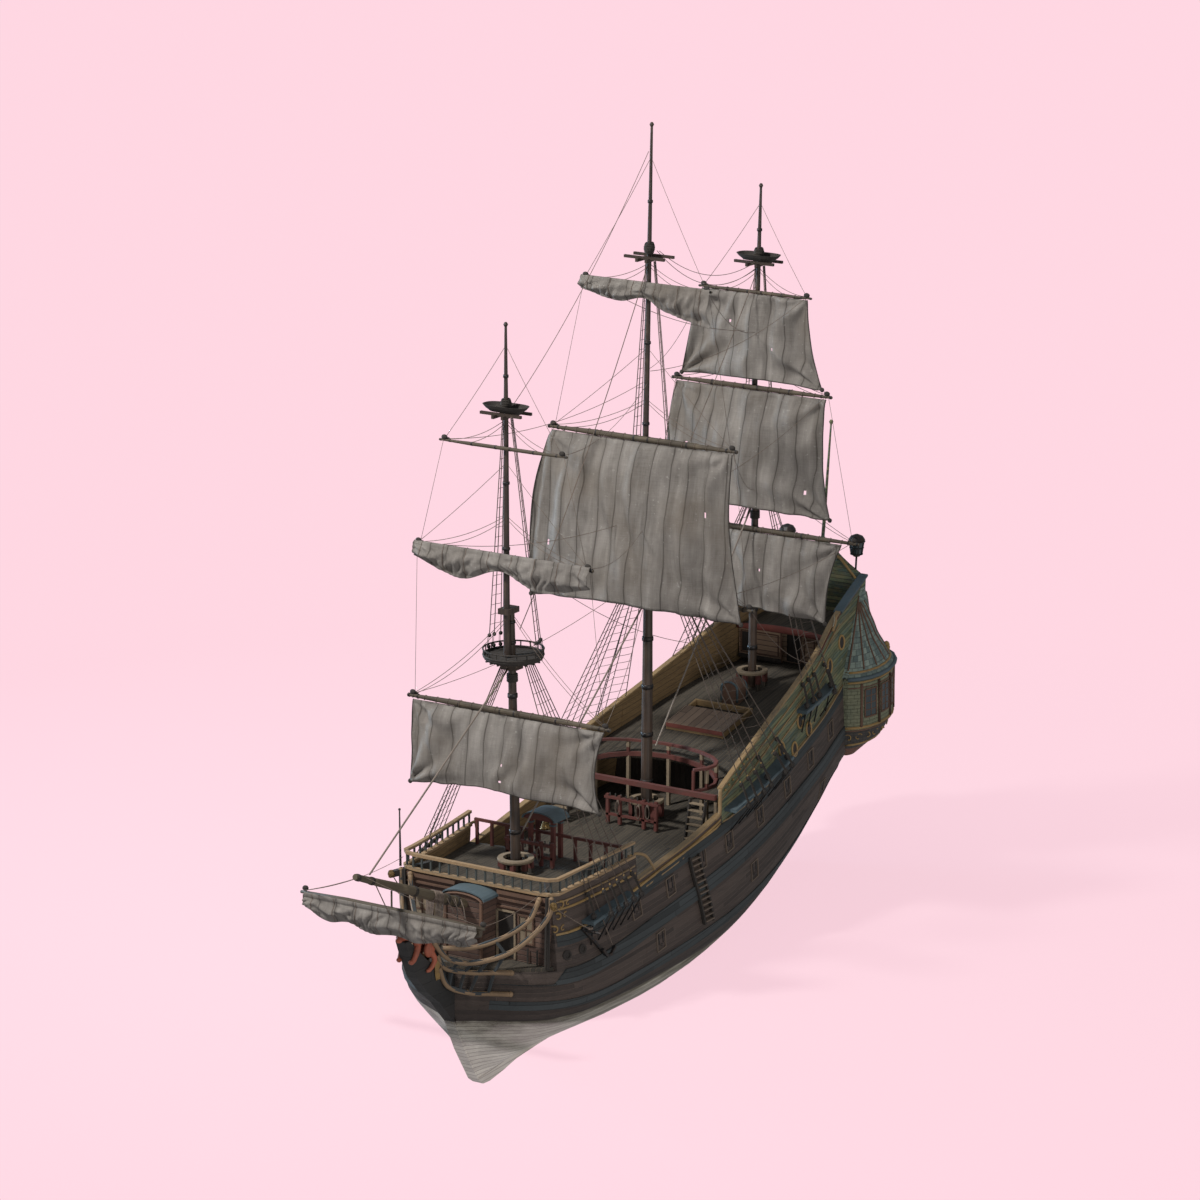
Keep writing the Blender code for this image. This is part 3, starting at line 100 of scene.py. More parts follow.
RAIL_POOP = ((10.3, 10.0), (11.4, 10.48), (12.5, 10.97))
PORTS_HIGH = ((-6.7, 3.13), (-4.5, 3.38), (-2.36, 3.8), (-0.4, 3.98), (2.04, 4.29), (4.54, 4.73),
              (6.78, 5.22), (8.91, 5.78))
PORTS_LOW = ((-5.5, 1.65), (1.3, 2.45), (7.95, 3.73))
ROUND_PORTS = ((4.3, 6.24), (5.4, 5.95), (6.04, 6.87), (6.78, 6.38), (9.2, 8.2), (10.4, 8.83))
# Channels: mast, y from, y to, top z from, top z to, width, shrouds
CHANNELS = (
    ("fore", -9.75, -7.10, 3.46, 3.86, 0.46, 6),
    ("main", -0.55, 4.30, 5.26, 6.04, 0.50, 8),
    ("mizzen", 5.85, 8.75, 7.34, 7.62, 0.42, 5),
)


def smooth_at(rows, t):
    """A smooth curve through rows of (t, value)."""
    if t <= rows[0][0]:
        return rows[0][1]
    for i in range(len(rows) - 1):
        a, b = rows[i], rows[i + 1]
        if t <= b[0]:
            before = rows[max(0, i - 1)]
            after = rows[min(len(rows) - 1, i + 2)]
            span = b[0] - a[0]
            ma = (b[1] - before[1]) / (b[0] - before[0]) * span
            mb = (after[1] - a[1]) / (after[0] - a[0]) * span
            s = (t - a[0]) / span
            return ((2 * s ** 3 - 3 * s ** 2 + 1) * a[1] + (s ** 3 - 2 * s ** 2 + s) * ma
                    + (3 * s ** 2 - 2 * s ** 3) * b[1] + (s ** 3 - s ** 2) * mb)
    return rows[-1][1]


def mast_at(name, z, high=False):
    """Centre y and radius of a mast, or of its topmast, at a height."""
    y, deck, platform, cap, cross, truck, rake, radius = MASTS[name]
    if high:
        gap = (radius * 0.74 + 0.15) * min(1.0, (truck - z) / (truck - cap))
        size = smooth_at(((platform, 0.13), (cap, 0.12), (cross, 0.085), (truck, 0.045)), z)
        return y - gap + rake * (z - deck), size
    size = smooth_at(((deck, radius), (deck + 4, radius * 0.96), (cap, radius * 0.68)), z)
    return y + rake * (z - deck), size


def yard_y(name):
    """The yard's middle, found from the fore edge of its solid."""
    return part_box(name + "_yard")[0][1] + YARDS[name][3] * 0.92


def angles(count):
    """Angles evenly round a circle."""
    return [2 * math.pi * k / count for k in range(count)]


X, Y, Z = Vector((1, 0, 0)), Vector((0, 1, 0)), Vector((0, 0, 1))


def circle(centre, radius, count, side=X, up=Y):
    """Points evenly round a circle in the plane of two directions."""
    centre, side, up = Vector(centre), Vector(side), Vector(up)
    return [centre + (side * math.cos(t) + up * math.sin(t)) * radius for t in angles(count)]


def curl(count, start, sweep, size, shrink):
    """Offsets (across, up) along a spiral that winds inward."""
    offsets = []
    for k in range(count):
        t = k / (count - 1)
        r = size * (1.0 - shrink * t)
        turn = start + sweep * t
        offsets.append((r * math.cos(turn), r * math.sin(turn)))
    return offsets


# Materials

class Value:
    """A shader's value, which adds, multiplies and compares as a number does."""

    def __init__(self, shade, socket):
        self.shade = shade
        self.socket = socket

    def __add__(self, other):
        return self.shade.math("ADD", self, other)

    def __sub__(self, other):
        return self.shade.math("SUBTRACT", self, other)

    def __rsub__(self, other):
        return self.shade.math("SUBTRACT", other, self)

    def __mul__(self, other):
        return self.shade.math("MULTIPLY", self, other)

    def __truediv__(self, other):
        return self.shade.math("DIVIDE", self, other)

    def __mod__(self, other):
        return self.shade.math("MODULO", self, other)

    def __gt__(self, other):
        return self.shade.math("GREATER_THAN", self, other)

    def __lt__(self, other):
        return self.shade.math("LESS_THAN", self, other)

    def __abs__(self):
        return self.shade.math("ABSOLUTE", self)


class Shade:
    """Writes one material's nodes; each call returns a value."""

    def __init__(self, name, rough=0.8, metal=0.0):
        self.made = bpy.data.materials.new(name)
        self.made.use_nodes = True
        self.tree = self.made.node_tree
        self.tree.nodes.clear()
        out = self.tree.nodes.new("ShaderNodeOutputMaterial")
        self.shader = self.tree.nodes.new("ShaderNodeBsdfPrincipled")
        self.tree.links.new(self.shader.outputs[0], out.inputs["Surface"])
        self.shader.inputs["Roughness"].default_value = rough
        self.shader.inputs["Metallic"].default_value = metal
        self.pos = self.node("TexCoord", output="Object")
        self.x, self.y, self.z = self.split(self.pos)

    def node(self, kind, inputs=None, output=0, **settings):
        """Adds a node and returns one of its outputs."""
        made = self.tree.nodes.new("ShaderNode" + kind)
        for key, value in settings.items():
            setattr(made, key, value)
        for key, value in (inputs or {}).items():
            self.put(made.inputs[key], value)
        return Value(self, made.outputs[output])

    def put(self, socket, value):
        if isinstance(value, Value):
            self.tree.links.new(value.socket, socket)
        elif isinstance(value, tuple):
            socket.default_value = value + (1.0,)
        else:
            socket.default_value = value

    def split(self, vector):
        """The three parts of a vector, from one node."""
        first = self.node("SeparateXYZ", {0: vector})
        return [Value(self, socket) for socket in first.socket.node.outputs]

    def math(self, op, a, b=0.0):
        return self.node("Math", {0: a, 1: b}, operation=op)

    def fract(self, a):
        return self.math("FRACT", a)

    def floor(self, a):
        return self.math("FLOOR", a)

    def sine(self, a):
        return self.math("SINE", a)

    def least(self, a, b):
        return self.math("MINIMUM", a, b)

    def most(self, a, b):
        return self.math("MAXIMUM", a, b)

    def from_edge(self, part):
        """How far a part from 0 to 1 is from its nearer end."""
        return self.least(part, 1.0 - part)

    def vec(self, x, y, z):
        return self.node("CombineXYZ", {0: x, 1: y, 2: z})

    def noise(self, scale, detail=4.0, vector=None, rough=0.55):
        where = vector or self.pos
        return self.node("TexNoise", {"Vector": where, "Scale": scale, "Detail": detail, "Roughness": rough})

    def white(self, x, y=0.0, z=0.0):
        return self.node("TexWhiteNoise", {"Vector": self.vec(x, y, z)}, "Value")

    def near(self, value, low, high, a=1.0, b=0.0):
        """a at low, b at high, clamped."""
        return self.node("MapRange", {0: value, 1: low, 2: high, 3: a, 4: b})

    def rise(self, value, low, high, top=1.0):
        """0 at low, top at high, clamped."""
        return self.near(value, low, high, 0.0, top)

    def mix(self, fac, a, b):
        return self.node("Mix", {0: fac, 6: a, 7: b}, 2, data_type="RGBA")

    def bump(self, height, distance):
        made = self.node("Bump", {"Height": height, "Distance": distance, "Strength": 1.0})
        self.put(self.shader.inputs["Normal"], made)

    def done(self, colour, rough=None):
        self.put(self.shader.inputs["Base Color"], colour)
        if rough is not None:
            self.put(self.shader.inputs["Roughness"], rough)
        return self.made


# The side's planks: dark, light, seam
SIDE_TONES = ((0.026, 0.018, 0.015), (0.072, 0.052, 0.043), (0.095, 0.070, 0.056))
# The sheer's rise for each metre aft at midships, and how much it bends up
SHEER_SLOPE, SHEER_BEND = 0.155, 0.0055


def seams(s, across, along, width, length, gap=0.012):
    """Plank seams: (seam mask, plank tone)."""
    over = across / width
    row = s.floor(over)
    part = s.fract(over)
    edge = s.from_edge(part) * width
    run = along / length + s.white(row) * 7.0
    piece = s.floor(run)
    place = s.fract(run)
    butt = s.from_edge(place) * length
    closest = s.least(edge, butt)
    return s.near(closest, gap * 0.4, gap * 1.5), s.white(row, piece, 2.3)


def sheer_line(s):
    """Height above the sheer, so that planks follow the hull's rise aft."""
    bend = s.y * s.y * SHEER_BEND
    return s.z - (s.y * SHEER_SLOPE + bend)


def grain(s, along, scale=1.0):
    """Fine noise drawn out along one axis."""
    size = {"x": (0.7, 16.0, 16.0), "y": (16.0, 0.7, 16.0), "z": (16.0, 16.0, 0.7)}[along]
    stretched = s.vec(s.x * (size[0] * scale), s.y * (size[1] * scale),
                      s.z * (size[2] * scale))
    return s.noise(1.0, 5.0, stretched)


def planked(name, dark, light, seam, across="x", along="y", width=0.22, length=4.5, gap=0.012, rough=0.8):
    """Worn planks with seams; returns the writer and the colour so far."""
    s = Shade(name, rough)
    axes = {"x": s.x, "y": s.y, "z": s.z}
    over = sheer_line(s) if across == "sheer" else axes[across]
    mask, tone = seams(s, over, axes[along], width, length, gap)
    fine = grain(s, along)
    blot = s.noise(0.45, 5.0)
    worth = tone * 0.42 + fine * 0.34
    worth = worth + blot * 0.3
    colour = s.mix(s.rise(worth, 0.25, 0.80), dark, light)
    colour = s.mix(mask * 0.85, colour, seam)
    height = fine * 0.4 - mask
    s.bump(height, 0.012)
    return s, colour


def worn_paint(name, base, under, along="z", amount=0.5, rough=0.75):
    """Paint over wood, worn to the wood in patches along the grain."""
    s = Shade(name, rough)
    fine = grain(s, along, 0.8)
    patch = s.noise(1.7, 6.0)
    wear = fine * 0.5 + patch * 0.6
    worn = s.rise(wear, 0.66 - 0.16 * amount, 0.84 - 0.16 * amount)
    shade = s.mix(s.rise(s.noise(0.8, 4.0), 0.3, 0.7), tuple(c * 0.66 for c in base), base)
    colour = s.mix(worn * 0.8, shade, under)
    s.bump(fine * 0.5 + worn * -0.4, 0.006)
    return s.done(colour)


def green_side(s, side):
    """The green planks above the upper wale, from the break of the quarterdeck aft."""
    sheer = sheer_line(s)
    mask, tone = seams(s, sheer, s.y, 0.14, 4.0, 0.012)
    worth = tone * 0.5 + grain(s, "y") * 0.5
    green = s.mix(s.rise(worth, 0.3, 0.7), (0.046, 0.062, 0.036), (0.150, 0.165, 0.085))
    long_x, long_z = s.x * 2.0, sheer * 5.0
    streak = s.noise(1.0, 6.0, s.vec(long_x, s.y * 0.9, long_z))
    green = s.mix(s.rise(streak, 0.50, 0.64, 0.60), green, (0.235, 0.175, 0.080))
    other = s.noise(1.0, 5.0, s.vec(long_x, s.y * 0.7, long_z + 31.0))
    green = s.mix(s.rise(other, 0.50, 0.62, 0.55), green, (0.050, 0.095, 0.092))
    green = s.mix(mask * 0.8, green, (0.028, 0.030, 0.022))
    curve = s.y * SHEER_SLOPE + s.y * s.y * 0.005
    above = s.z - curve > 4.86
    aft = s.y > -0.78
    return s.mix(above * aft, side, green)


def hull_material(name, dark, light, seam, wide, painted=False):
    """Dark side planks over a stained white bottom, with the line rising a little aft."""
    s, side = planked(name, dark, light, seam, "sheer", "y", wide, 5.5, 0.010)
    line = s.z - s.y * 0.035
    ragged = line + s.noise(0.9, 5.0) * 0.14
    below = s.near(ragged, 0.49, 0.53)
    over = sheer_line(s) / 0.17
    row = s.floor(over)
    stain = s.noise(0.8, 7.0, s.vec(s.x, s.y * 0.3, s.z * 2.4), 0.7)
    high = s.rise(line, -1.6, 0.5, 0.30)
    worth = stain + high + s.white(row) * 0.16
    bottom = s.mix(s.rise(worth, 0.50, 0.92), (0.56, 0.53, 0.44), (0.10, 0.088, 0.062))
    part = s.fract(over)
    edge = s.from_edge(part)
    bottom = s.mix(s.near(edge, 0.03, 0.13, 0.80, 0.0), bottom, (0.115, 0.10, 0.072))
    streak = s.noise(1.0, 4.0, s.vec(s.x * 3.0, s.y * 0.4, s.z * 6.0))
    side = s.mix(s.rise(streak, 0.50, 0.75, 0.55), side, tuple(c * 0.6 for c in dark))
    low = s.near(line, 0.5, 1.5, 0.6, 0.0)
    side = s.mix(low, side, (0.016, 0.011, 0.010))
    if painted:
        side = green_side(s, side)
    return s.done(s.mix(below, side, bottom))


def bulwark_material():
    """The side's planks outside, ochre planks inside."""
    s, side = planked("side_paint", *SIDE_TONES, "sheer", "y", 0.17, 5.5, 0.010)
    outside = green_side(s, side)
    across = s.split(s.node("NewGeometry", output="Normal"))[0]
    inward = across * s.x < -0.2
    tan = s.mix(grain(s, "y"), (0.10, 0.060, 0.026), (0.25, 0.165, 0.075))
    over = s.fract(sheer_line(s) / 0.24)
    tan = s.mix(s.near(s.from_edge(over), 0.02, 0.06, 0.8, 0.0), tan, (0.03, 0.02, 0.014))
    return s.done(s.mix(inward, outside, tan))


def rail_material():
    """Tan rails over dark turned posts, round the forecastle."""
    s = Shade("forecastle_rails", 0.7)
    base = (s.y + 11.0) * 0.061 + 4.62
    above = s.z - base
    post = s.rise(above, 0.1, 0.115) * s.near(above, 0.5, 0.515)
    tan = s.mix(grain(s, "y"), (0.13, 0.080, 0.040), (0.36, 0.245, 0.135))
    return s.done(s.mix(post, tan, (0.045, 0.052, 0.050)))


def gallery_material():
    """Shingled roof with ribs, green drum, dark carved band and a brown foot."""
    s = Shade("gallery_paint", 0.75)
    out = abs(s.x) - 2.05
    aft = s.y - 11.9
    turn = s.math("ARCTAN2", aft, out)
    level = s.z - aft * 0.17
    row = level / 0.19
    shift = s.floor(row) % 2.0 * 0.5
    cell = turn * 6.2 + shift
    tone = s.white(s.floor(cell), s.floor(row), 0.0)
    roof = s.mix(tone, (0.085, 0.12, 0.115), (0.21, 0.26, 0.225))
    lip = s.near(s.fract(row), 0.0, 0.16)
    gap = s.near(s.fract(cell), 0.0, 0.07)
    mask = s.most(lip, gap)
    roof = s.mix(mask * 0.8, roof, (0.045, 0.05, 0.05))
    plank = s.fract(level / 0.135)
    drum = s.mix(s.noise(1.6, 6.0), (0.055, 0.075, 0.055), (0.23, 0.225, 0.135))
    drum = s.mix(s.near(plank, 0.0, 0.14, 0.8, 0.0), drum, (0.04, 0.045, 0.035))
    dark = s.mix(s.noise(3.0, 5.0), (0.025, 0.024, 0.024), (0.06, 0.052, 0.045))
    foot = s.mix(grain(s, "z"), (0.09, 0.035, 0.024), (0.19, 0.085, 0.05))
    colour = s.mix(level > 7.7, drum, roof)
    colour = s.mix(level < 5.62, colour, dark)
    colour = s.mix(level < 4.78, colour, foot)
    s.bump(s.noise(6.0, 4.0) - s.most(mask, s.near(plank, 0.0, 0.12)), 0.02)
    return s.done(colour)


def canvas_material():
    """Weathered canvas: cloths with dark seams and painted shade beside them, streaks, patches and a weave.
    """
    s = Shade("sailcloth", 0.95)
    u, v, _ = s.split(s.node("UVMap", uv_map="flat"))
    wander = (s.noise(0.5, 3.0) - 0.5) * 0.22
    cloth = (u + wander) / 0.74
    part = s.fract(cloth)
    edge = s.from_edge(part)
    seam = s.near(edge, 0.008, 0.045)
    # painted shade along both sides of each seam
    shadow = s.near(edge, 0.02, 0.26, 0.50, 0.0)
    tone = s.white(s.floor(cloth), 4.0, 1.0)
    streak = s.noise(1.0, 6.0, s.vec(u * 4.5, v * 0.5, 0.0))
    stain = s.noise(0.55, 8.0, None, 0.66)
    cross = s.noise(1.0, 3.0, s.vec(u * 1.5, v * 34.0, 2.0))
    down = s.noise(1.0, 3.0, s.vec(u * 34.0, v * 1.5, 5.0))
    worth = tone * 0.07 + streak * 0.32
    worth = worth + stain * 0.52
    worth = worth + (cross + down) * 0.15
    colour = s.mix(s.rise(worth, 0.36, 0.80), (0.062, 0.052, 0.044), (0.300, 0.278, 0.256))
    # the painted shade beside the seams, stronger where the stain noise is high
    colour = s.mix(shadow * s.near(stain, 0.38, 0.62, 0.3, 1.0), colour, (0.085, 0.073, 0.063))
    colour = s.mix(seam * 0.7, colour, (0.040, 0.033, 0.028))
    speck = s.rise(s.noise(7.0, 4.0), 0.64, 0.74, 0.55)
    colour = s.mix(speck, colour, (0.36, 0.345, 0.325))
    brown = s.rise(s.noise(0.35, 6.0), 0.52, 0.70, 0.45)
    colour = s.mix(brown, colour, (0.130, 0.105, 0.080))
    warp = s.sine(u * 420.0)
    weft = s.sine(v * 420.0)
    weave = warp * weft
    height = weave * 0.08 + seam * 0.5
    height = height + (cross + down) * 0.35
    s.bump(height + s.noise(2.2, 6.0) * 1.1, 0.03)
    return s.done(colour)


def metal_material(name, base, rough, metal, spots):
    """Metal with dull spots."""
    s = Shade(name, rough, metal)
    patch = s.rise(s.noise(7.0, 6.0), 0.45, 0.68)
    s.bump(s.noise(30.0, 4.0), 0.002)
    return s.done(s.mix(patch, base, spots), s.near(patch, 0.0, 1.0, rough - 0.1, rough + 0.1))


def rope_material(name, dark, light):
    """Laid rope."""
    s = Shade(name, 0.95)
    lay = s.sine((s.z + (s.x + s.y)) * 150.0)
    worth = lay * 0.2 + s.noise(4.0, 4.0)
    s.bump(lay, 0.003)
    return s.done(s.mix(s.rise(worth, 0.3, 0.7), dark, light))


def glass_material():
    """Dark window panes."""
    s = Shade("window_glass", 0.12)
    s.shader.inputs["Specular IOR Level"].default_value = 0.8
    return s.done(s.mix(s.noise(1.8, 3.0), (0.010, 0.017, 0.021), (0.032, 0.050, 0.056)))


def mast_material():
    """Worn mast wood, with rope's colour on the stays that leave the masts."""
    s = Shade("mast_timber", 0.6)
    fine = grain(s, "z", 0.8)
    patch = s.noise(1.3, 6.0)
    wear = fine * 0.5 + patch * 0.6
    wood = s.mix(s.rise(wear, 0.42, 0.72), (0.021, 0.013, 0.009), (0.064, 0.039, 0.025))
    away = None
    for y, deck, *_, rake, _ in MASTS.values():
        axis = (s.z - deck) * rake + y
        off = abs(s.y - axis)
        away = off if away is None else s.least(away, off)
    stay = away > 0.5
    s.bump(fine * 0.5, 0.006)
    return s.done(s.mix(stay, wood, (0.150, 0.120, 0.098)))


def band_material(name, dark, light, seam):
    """Planks that follow the sheer."""
    s, colour = planked(name, dark, light, seam, "sheer", "y", 0.22, 5.0)
    return s.done(colour)


MAT = {
    "hull": hull_material("hull_planks", *SIDE_TONES, 0.17, True),
    "knee": hull_material("knee_timber", (0.010, 0.010, 0.010), (0.026, 0.025, 0.024),
                          (0.008, 0.008, 0.008), 0.60),
    "rails": rail_material(),
    "bulwark": bulwark_material(),
    "gallery": gallery_material(),
    "canvas": canvas_material(),
    "glass": glass_material(),
    "wale": band_material("wale_paint", (0.014, 0.017, 0.018), (0.040, 0.048, 0.051), (0.009, 0.010, 0.010)),
    "tan": worn_paint("tan_timber", (0.262, 0.172, 0.080), (0.100, 0.070, 0.044), "y", 0.66, 0.7),
    "gold": worn_paint("gold_paint", (0.290, 0.180, 0.060), (0.110, 0.072, 0.040), "y", 0.60, 0.6),
    "lid": worn_paint("port_frame", (0.135, 0.100, 0.074), (0.060, 0.045, 0.036), "y", 0.6, 0.8),
    "mast": mast_material(),
    "red": worn_paint("red_timber", (0.110, 0.030, 0.024), (0.060, 0.036, 0.029), "x", 0.5, 0.75),
    "roll": worn_paint("red_roll", (0.215, 0.060, 0.047), (0.10, 0.050, 0.040), "x", 0.4, 0.8),
    "beast": worn_paint("beast_timber", (0.36, 0.095, 0.050), (0.11, 0.042, 0.030), "z", 0.6, 0.7),
    "brown": worn_paint("brown_timber", (0.125, 0.068, 0.044), (0.060, 0.040, 0.030), "z", 0.6, 0.8),
    "dark": worn_paint("dark_timber", (0.026, 0.021, 0.018), (0.060, 0.047, 0.037), "z", 0.3, 0.85),
    "spar": worn_paint("spar_timber", (0.034, 0.021, 0.015), (0.088, 0.058, 0.036), "z", 0.5, 0.65),
    "yard": worn_paint("yard_timber", (0.060, 0.045, 0.028), (0.125, 0.096, 0.060), "x", 0.5, 0.7),
    "sprit": worn_paint("bowsprit_timber", (0.085, 0.066, 0.040), (0.140, 0.110, 0.068), "y", 0.5, 0.7),
    "blue": worn_paint("blue_paint", (0.068, 0.100, 0.118), (0.085, 0.090, 0.085), "y", 0.45, 0.75),
    "headrail": worn_paint("head_rail", (0.230, 0.150, 0.084), (0.105, 0.070, 0.045), "y", 0.5, 0.7),
    "greyblue": worn_paint("head_timber", (0.034, 0.042, 0.047), (0.052, 0.043, 0.036), "z", 0.5, 0.8),
    "pale": worn_paint("pale_timber", (0.24, 0.185, 0.125), (0.115, 0.085, 0.060), "y", 0.6, 0.8),
    "iron": metal_material("black_iron", (0.022, 0.022, 0.024), 0.55, 0.6, (0.05, 0.035, 0.026)),
    "bell": metal_material("bell_metal", (0.36, 0.23, 0.085), 0.35, 0.9, (0.16, 0.13, 0.07)),
    "rope": rope_material("pale_rope", (0.085, 0.062, 0.050), (0.20, 0.155, 0.125)),
    "tarred": rope_material("tarred_rope", (0.020, 0.017, 0.015), (0.050, 0.042, 0.035)),
    "shroud": rope_material("shroud_rope", (0.055, 0.042, 0.034), (0.13, 0.10, 0.082)),
}


def deck_material(name, shade):
    """Worn deck planks with pale seams."""
    dark, light = [tuple(c * shade for c in tone) for tone in ((0.036, 0.031, 0.024), (0.105, 0.088, 0.066))]
    s, colour = planked(name, dark, light, (0.11, 0.082, 0.052), "x", "y", 0.15, 2.2, 0.008, 0.85)
    return s.done(colour)


def wall_material(name, dark, light, along="z", across="x", width=0.24):
    """Planks of a wall or a lid."""
    s, colour = planked(name, dark, light, (0.03, 0.024, 0.02), across, along, width, 6.0)
    return s.done(colour)


MAT["deck"] = deck_material("deck_planks", 0.56)
MAT["hatch"] = wall_material("hatch_planks", (0.115, 0.078, 0.056), (0.28, 0.20, 0.145), "y", "x", 0.30)
MAT["beak_wall"] = wall_material("beak_wall", (0.050, 0.026, 0.020), (0.135, 0.080, 0.058), "x", "z", 0.19)
MAT["poop_wall"] = wall_material("poop_wall", (0.16, 0.100, 0.070), (0.34, 0.235, 0.165), "x", "z", 0.20)
MAT["cabin_wall"] = wall_material("cabin_wall", (0.022, 0.016, 0.013), (0.055, 0.04, 0.032))

FINISH = {
    "hull": ("hull",),
    "knee": ("keel_and_stem",),
    "rails": ("forecastle_rail",),
    "bulwark": ("bulwark_port", "bulwark_starboard", "transom"),
    "gallery": ("quarter_gallery_port", "quarter_gallery_starboard"),
    "deck": ("beak_deck", "forecastle_deck", "main_deck", "quarterdeck", "poop_deck"),
    "hatch": ("hatch_cover",),
    "tan": ("hatch_coaming",),
    "beak_wall": ("forecastle_front",),
    "poop_wall": ("poop_front",),
    "cabin_wall": ("cabin_front",),
    "dark": ("poop_door", "beak_door", "rudder", "fore_top", "main_top", "mizzen_top"),
    "beast": ("figurehead",),
    "greyblue": ("head_rails_port", "head_rails_starboard"),
    "red": ("break_rail", "belfry"),
    "brown": ("companion_hood",),
    "bell": ("bell",),
    "iron": ("stern_lantern_port", "stern_lantern_starboard", "anchor_port", "anchor_starboard"),
    "sprit": ("bowsprit",),
    "spar": ("fore_topmast", "main_topmast", "mizzen_topmast"),
    "mast": ("fore_lower_mast", "main_lower_mast", "mizzen_lower_mast"),
    "yard": tuple(name + "_yard" for name in YARDS) + ("spritsail_yard",),
    "canvas": tuple(SET_SAILS) + tuple(FURLED),
}
for key, names in FINISH.items():
    for node in names:
        data = NODES[node].data
        data.materials.clear()
        data.materials.append(MAT[key])


# Geometry

class Heap:
    """Collects many small solids of one finish into one mesh."""

    def __init__(self):
        self.verts = []
        self.faces = []

    def add(self, verts, faces):
        base = len(self.verts)
        self.verts += [tuple(v) for v in verts]
        self.faces += [tuple(i + base for i in face) for face in faces]

    def rings(self, rings, closed=False, caps=True):
        """A skin over rings of equal length."""
        count = len(rings[0])
        verts = [p for ring in rings for p in ring]
        faces = []
        last = len(rings) if closed else len(rings) - 1
        for i in range(last):
            a, b = i * count, ((i + 1) % len(rings)) * count
            for k in range(count):
                m = (k + 1) % count
                faces.append((a + k, a + m, b + m, b + k))
        if caps and not closed:
            faces.append(tuple(reversed(range(count))))
            faces.append(tuple((len(rings) - 1) * count + k for k in range(count)))
        self.add(verts, faces)

    def tube(self, points, radius, sides=5, closed=False):
        """A round bar along points; radius is one number or one for each point."""
        points = [Vector(p) for p in points]
        count = len(points)
        sizes = radius if isinstance(radius, (list, tuple)) else [radius] * count
        rings = []
        side = None
        for i, p in enumerate(points):
            ahead = points[(i + 1) % count] if closed or i + 1 < count else p
            behind = points[i - 1] if closed or i > 0 else p
            run = (ahead - behind).normalized()
            if side is None:
                side = run.cross(Z if abs(run.z) < 0.9 else X).normalized()
            side = (side - run * side.dot(run)).normalized()
            up = run.cross(side)
            rings.append(circle(p, sizes[i], sides, side, up))
        self.rings(rings, closed)

    def beam(self, a, b, wide, high, up=(0, 0, 1)):
        """A square bar from a to b."""
        a, b = Vector(a), Vector(b)
        run = (b - a).normalized()
        side = run.cross(Vector(up)).normalized()
        top = side.cross(run)
        corners = ((-1, -1), (1, -1), (1, 1), (-1, 1))
        self.rings([[p + side * (wide / 2 * i) + top * (high / 2 * j) for i, j in corners] for p in (a, b)])

    def frame(self, corners, wide, thick, up=Y):
        """Bars round a rectangle."""
        for a, b in zip(corners, corners[1:] + corners[:1]):
            self.beam(a, b, wide, thick, up)

    def lathe(self, centre, profile, sides=16, axis="z"):
        """Turned shape: profile rows are (radius, height along the axis)."""
        run, side, up = {"z": (Z, X, Y), "x": (X, Y, Z), "y": (Y, Z, X)}[axis]
        self.rings([circle(Vector(centre) + run * h, r, sides, side, up) for r, h in profile])

    def ball(self, centre, size, sides=10, rows=6):
        """An egg of half sizes (x, y, z)."""
        rings = []
        for j in range(rows + 1):
            a = math.pi * (j + 0.25) / (rows + 0.5) - math.pi / 2
            middle = Vector(centre) + Z * (size[2] * math.sin(a))
            rings.append(circle(middle, math.cos(a), sides, X * size[0], Y * size[1]))
        self.rings(rings)

    def mirror(self):
        """Adds the other side's copy."""
        base = len(self.verts)
        self.verts += [(-x, y, z) for x, y, z in self.verts]
        self.faces += [tuple(i + base for i in reversed(face)) for face in list(self.faces)]
        return self

    def make(self, name, key, body="ship", smooth=False, slot=None):
        """One object of the collected solids; without a body it is left unattached."""
        mesh = bpy.data.meshes.new(name)
        mesh.from_pydata(self.verts, [], self.faces)
        mesh.update()
        made = bpy.data.objects.new(name, mesh)
        bpy.context.collection.objects.link(made)
        mesh.materials.append(MAT[key])
        if smooth:
            mesh.shade_smooth()
        if body:
            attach(made, body)
        return made


def tree_of(names):
    """The surfaces of some solids, for rays."""
    verts, faces = [], []
    for name in names:
        mesh = NODES[name].data
        base = len(verts)
        verts += [v.co.copy() for v in mesh.vertices]
        faces += [tuple(i + base for i in p.vertices) for p in mesh.polygons]
    return BVHTree.FromPolygons(verts, faces)


SIDE = tree_of(["hull", "bulwark_port"])
GALLERY = tree_of(["quarter_gallery_port"])


def on_side(y, z):
    """The port side's surface and outward direction at a place."""
    hit = SIDE.ray_cast(Vector((9, y, z)), Vector((-1, 0, 0)))
    if hit[0] is None:
        return Vector((0.2, y, z)), X
    out = hit[1] if hit[1].x > 0 else -hit[1]
    return hit[0], out


def steps(low, high, step):
    """Even places from low to high, about a step apart."""
    count = max(1, round((high - low) / step))
    return [low + (high - low) * i / count for i in range(count + 1)]


def moulding(heap, rows, high, thick, y0=None, y1=None, lift=0.0, step=0.4, sunk=0.02):
    """A strip along the side on a line of (y, z) rows."""
    y0 = rows[0][0] if y0 is None else y0
    y1 = rows[-1][0] if y1 is None else y1
    rings = []
    for y in steps(y0, y1, step):
        z = smooth_at(rows, y) + lift
        low, out_low = on_side(y, z - high / 2)
        top = on_side(y, z + high / 2)[0]
        out = Vector((1, out_low.y, 0)).normalized()
        full = thick * min(1.0, 0.15 + min(y - y0, y1 - y) / 0.45)
        rings.append([low - out * sunk, low + out * full, top + out * full, top - out * sunk])
    heap.rings(rings)


# How far a frame or a curl on the side rises for each metre aft
SIDE_SLOPE = 0.16


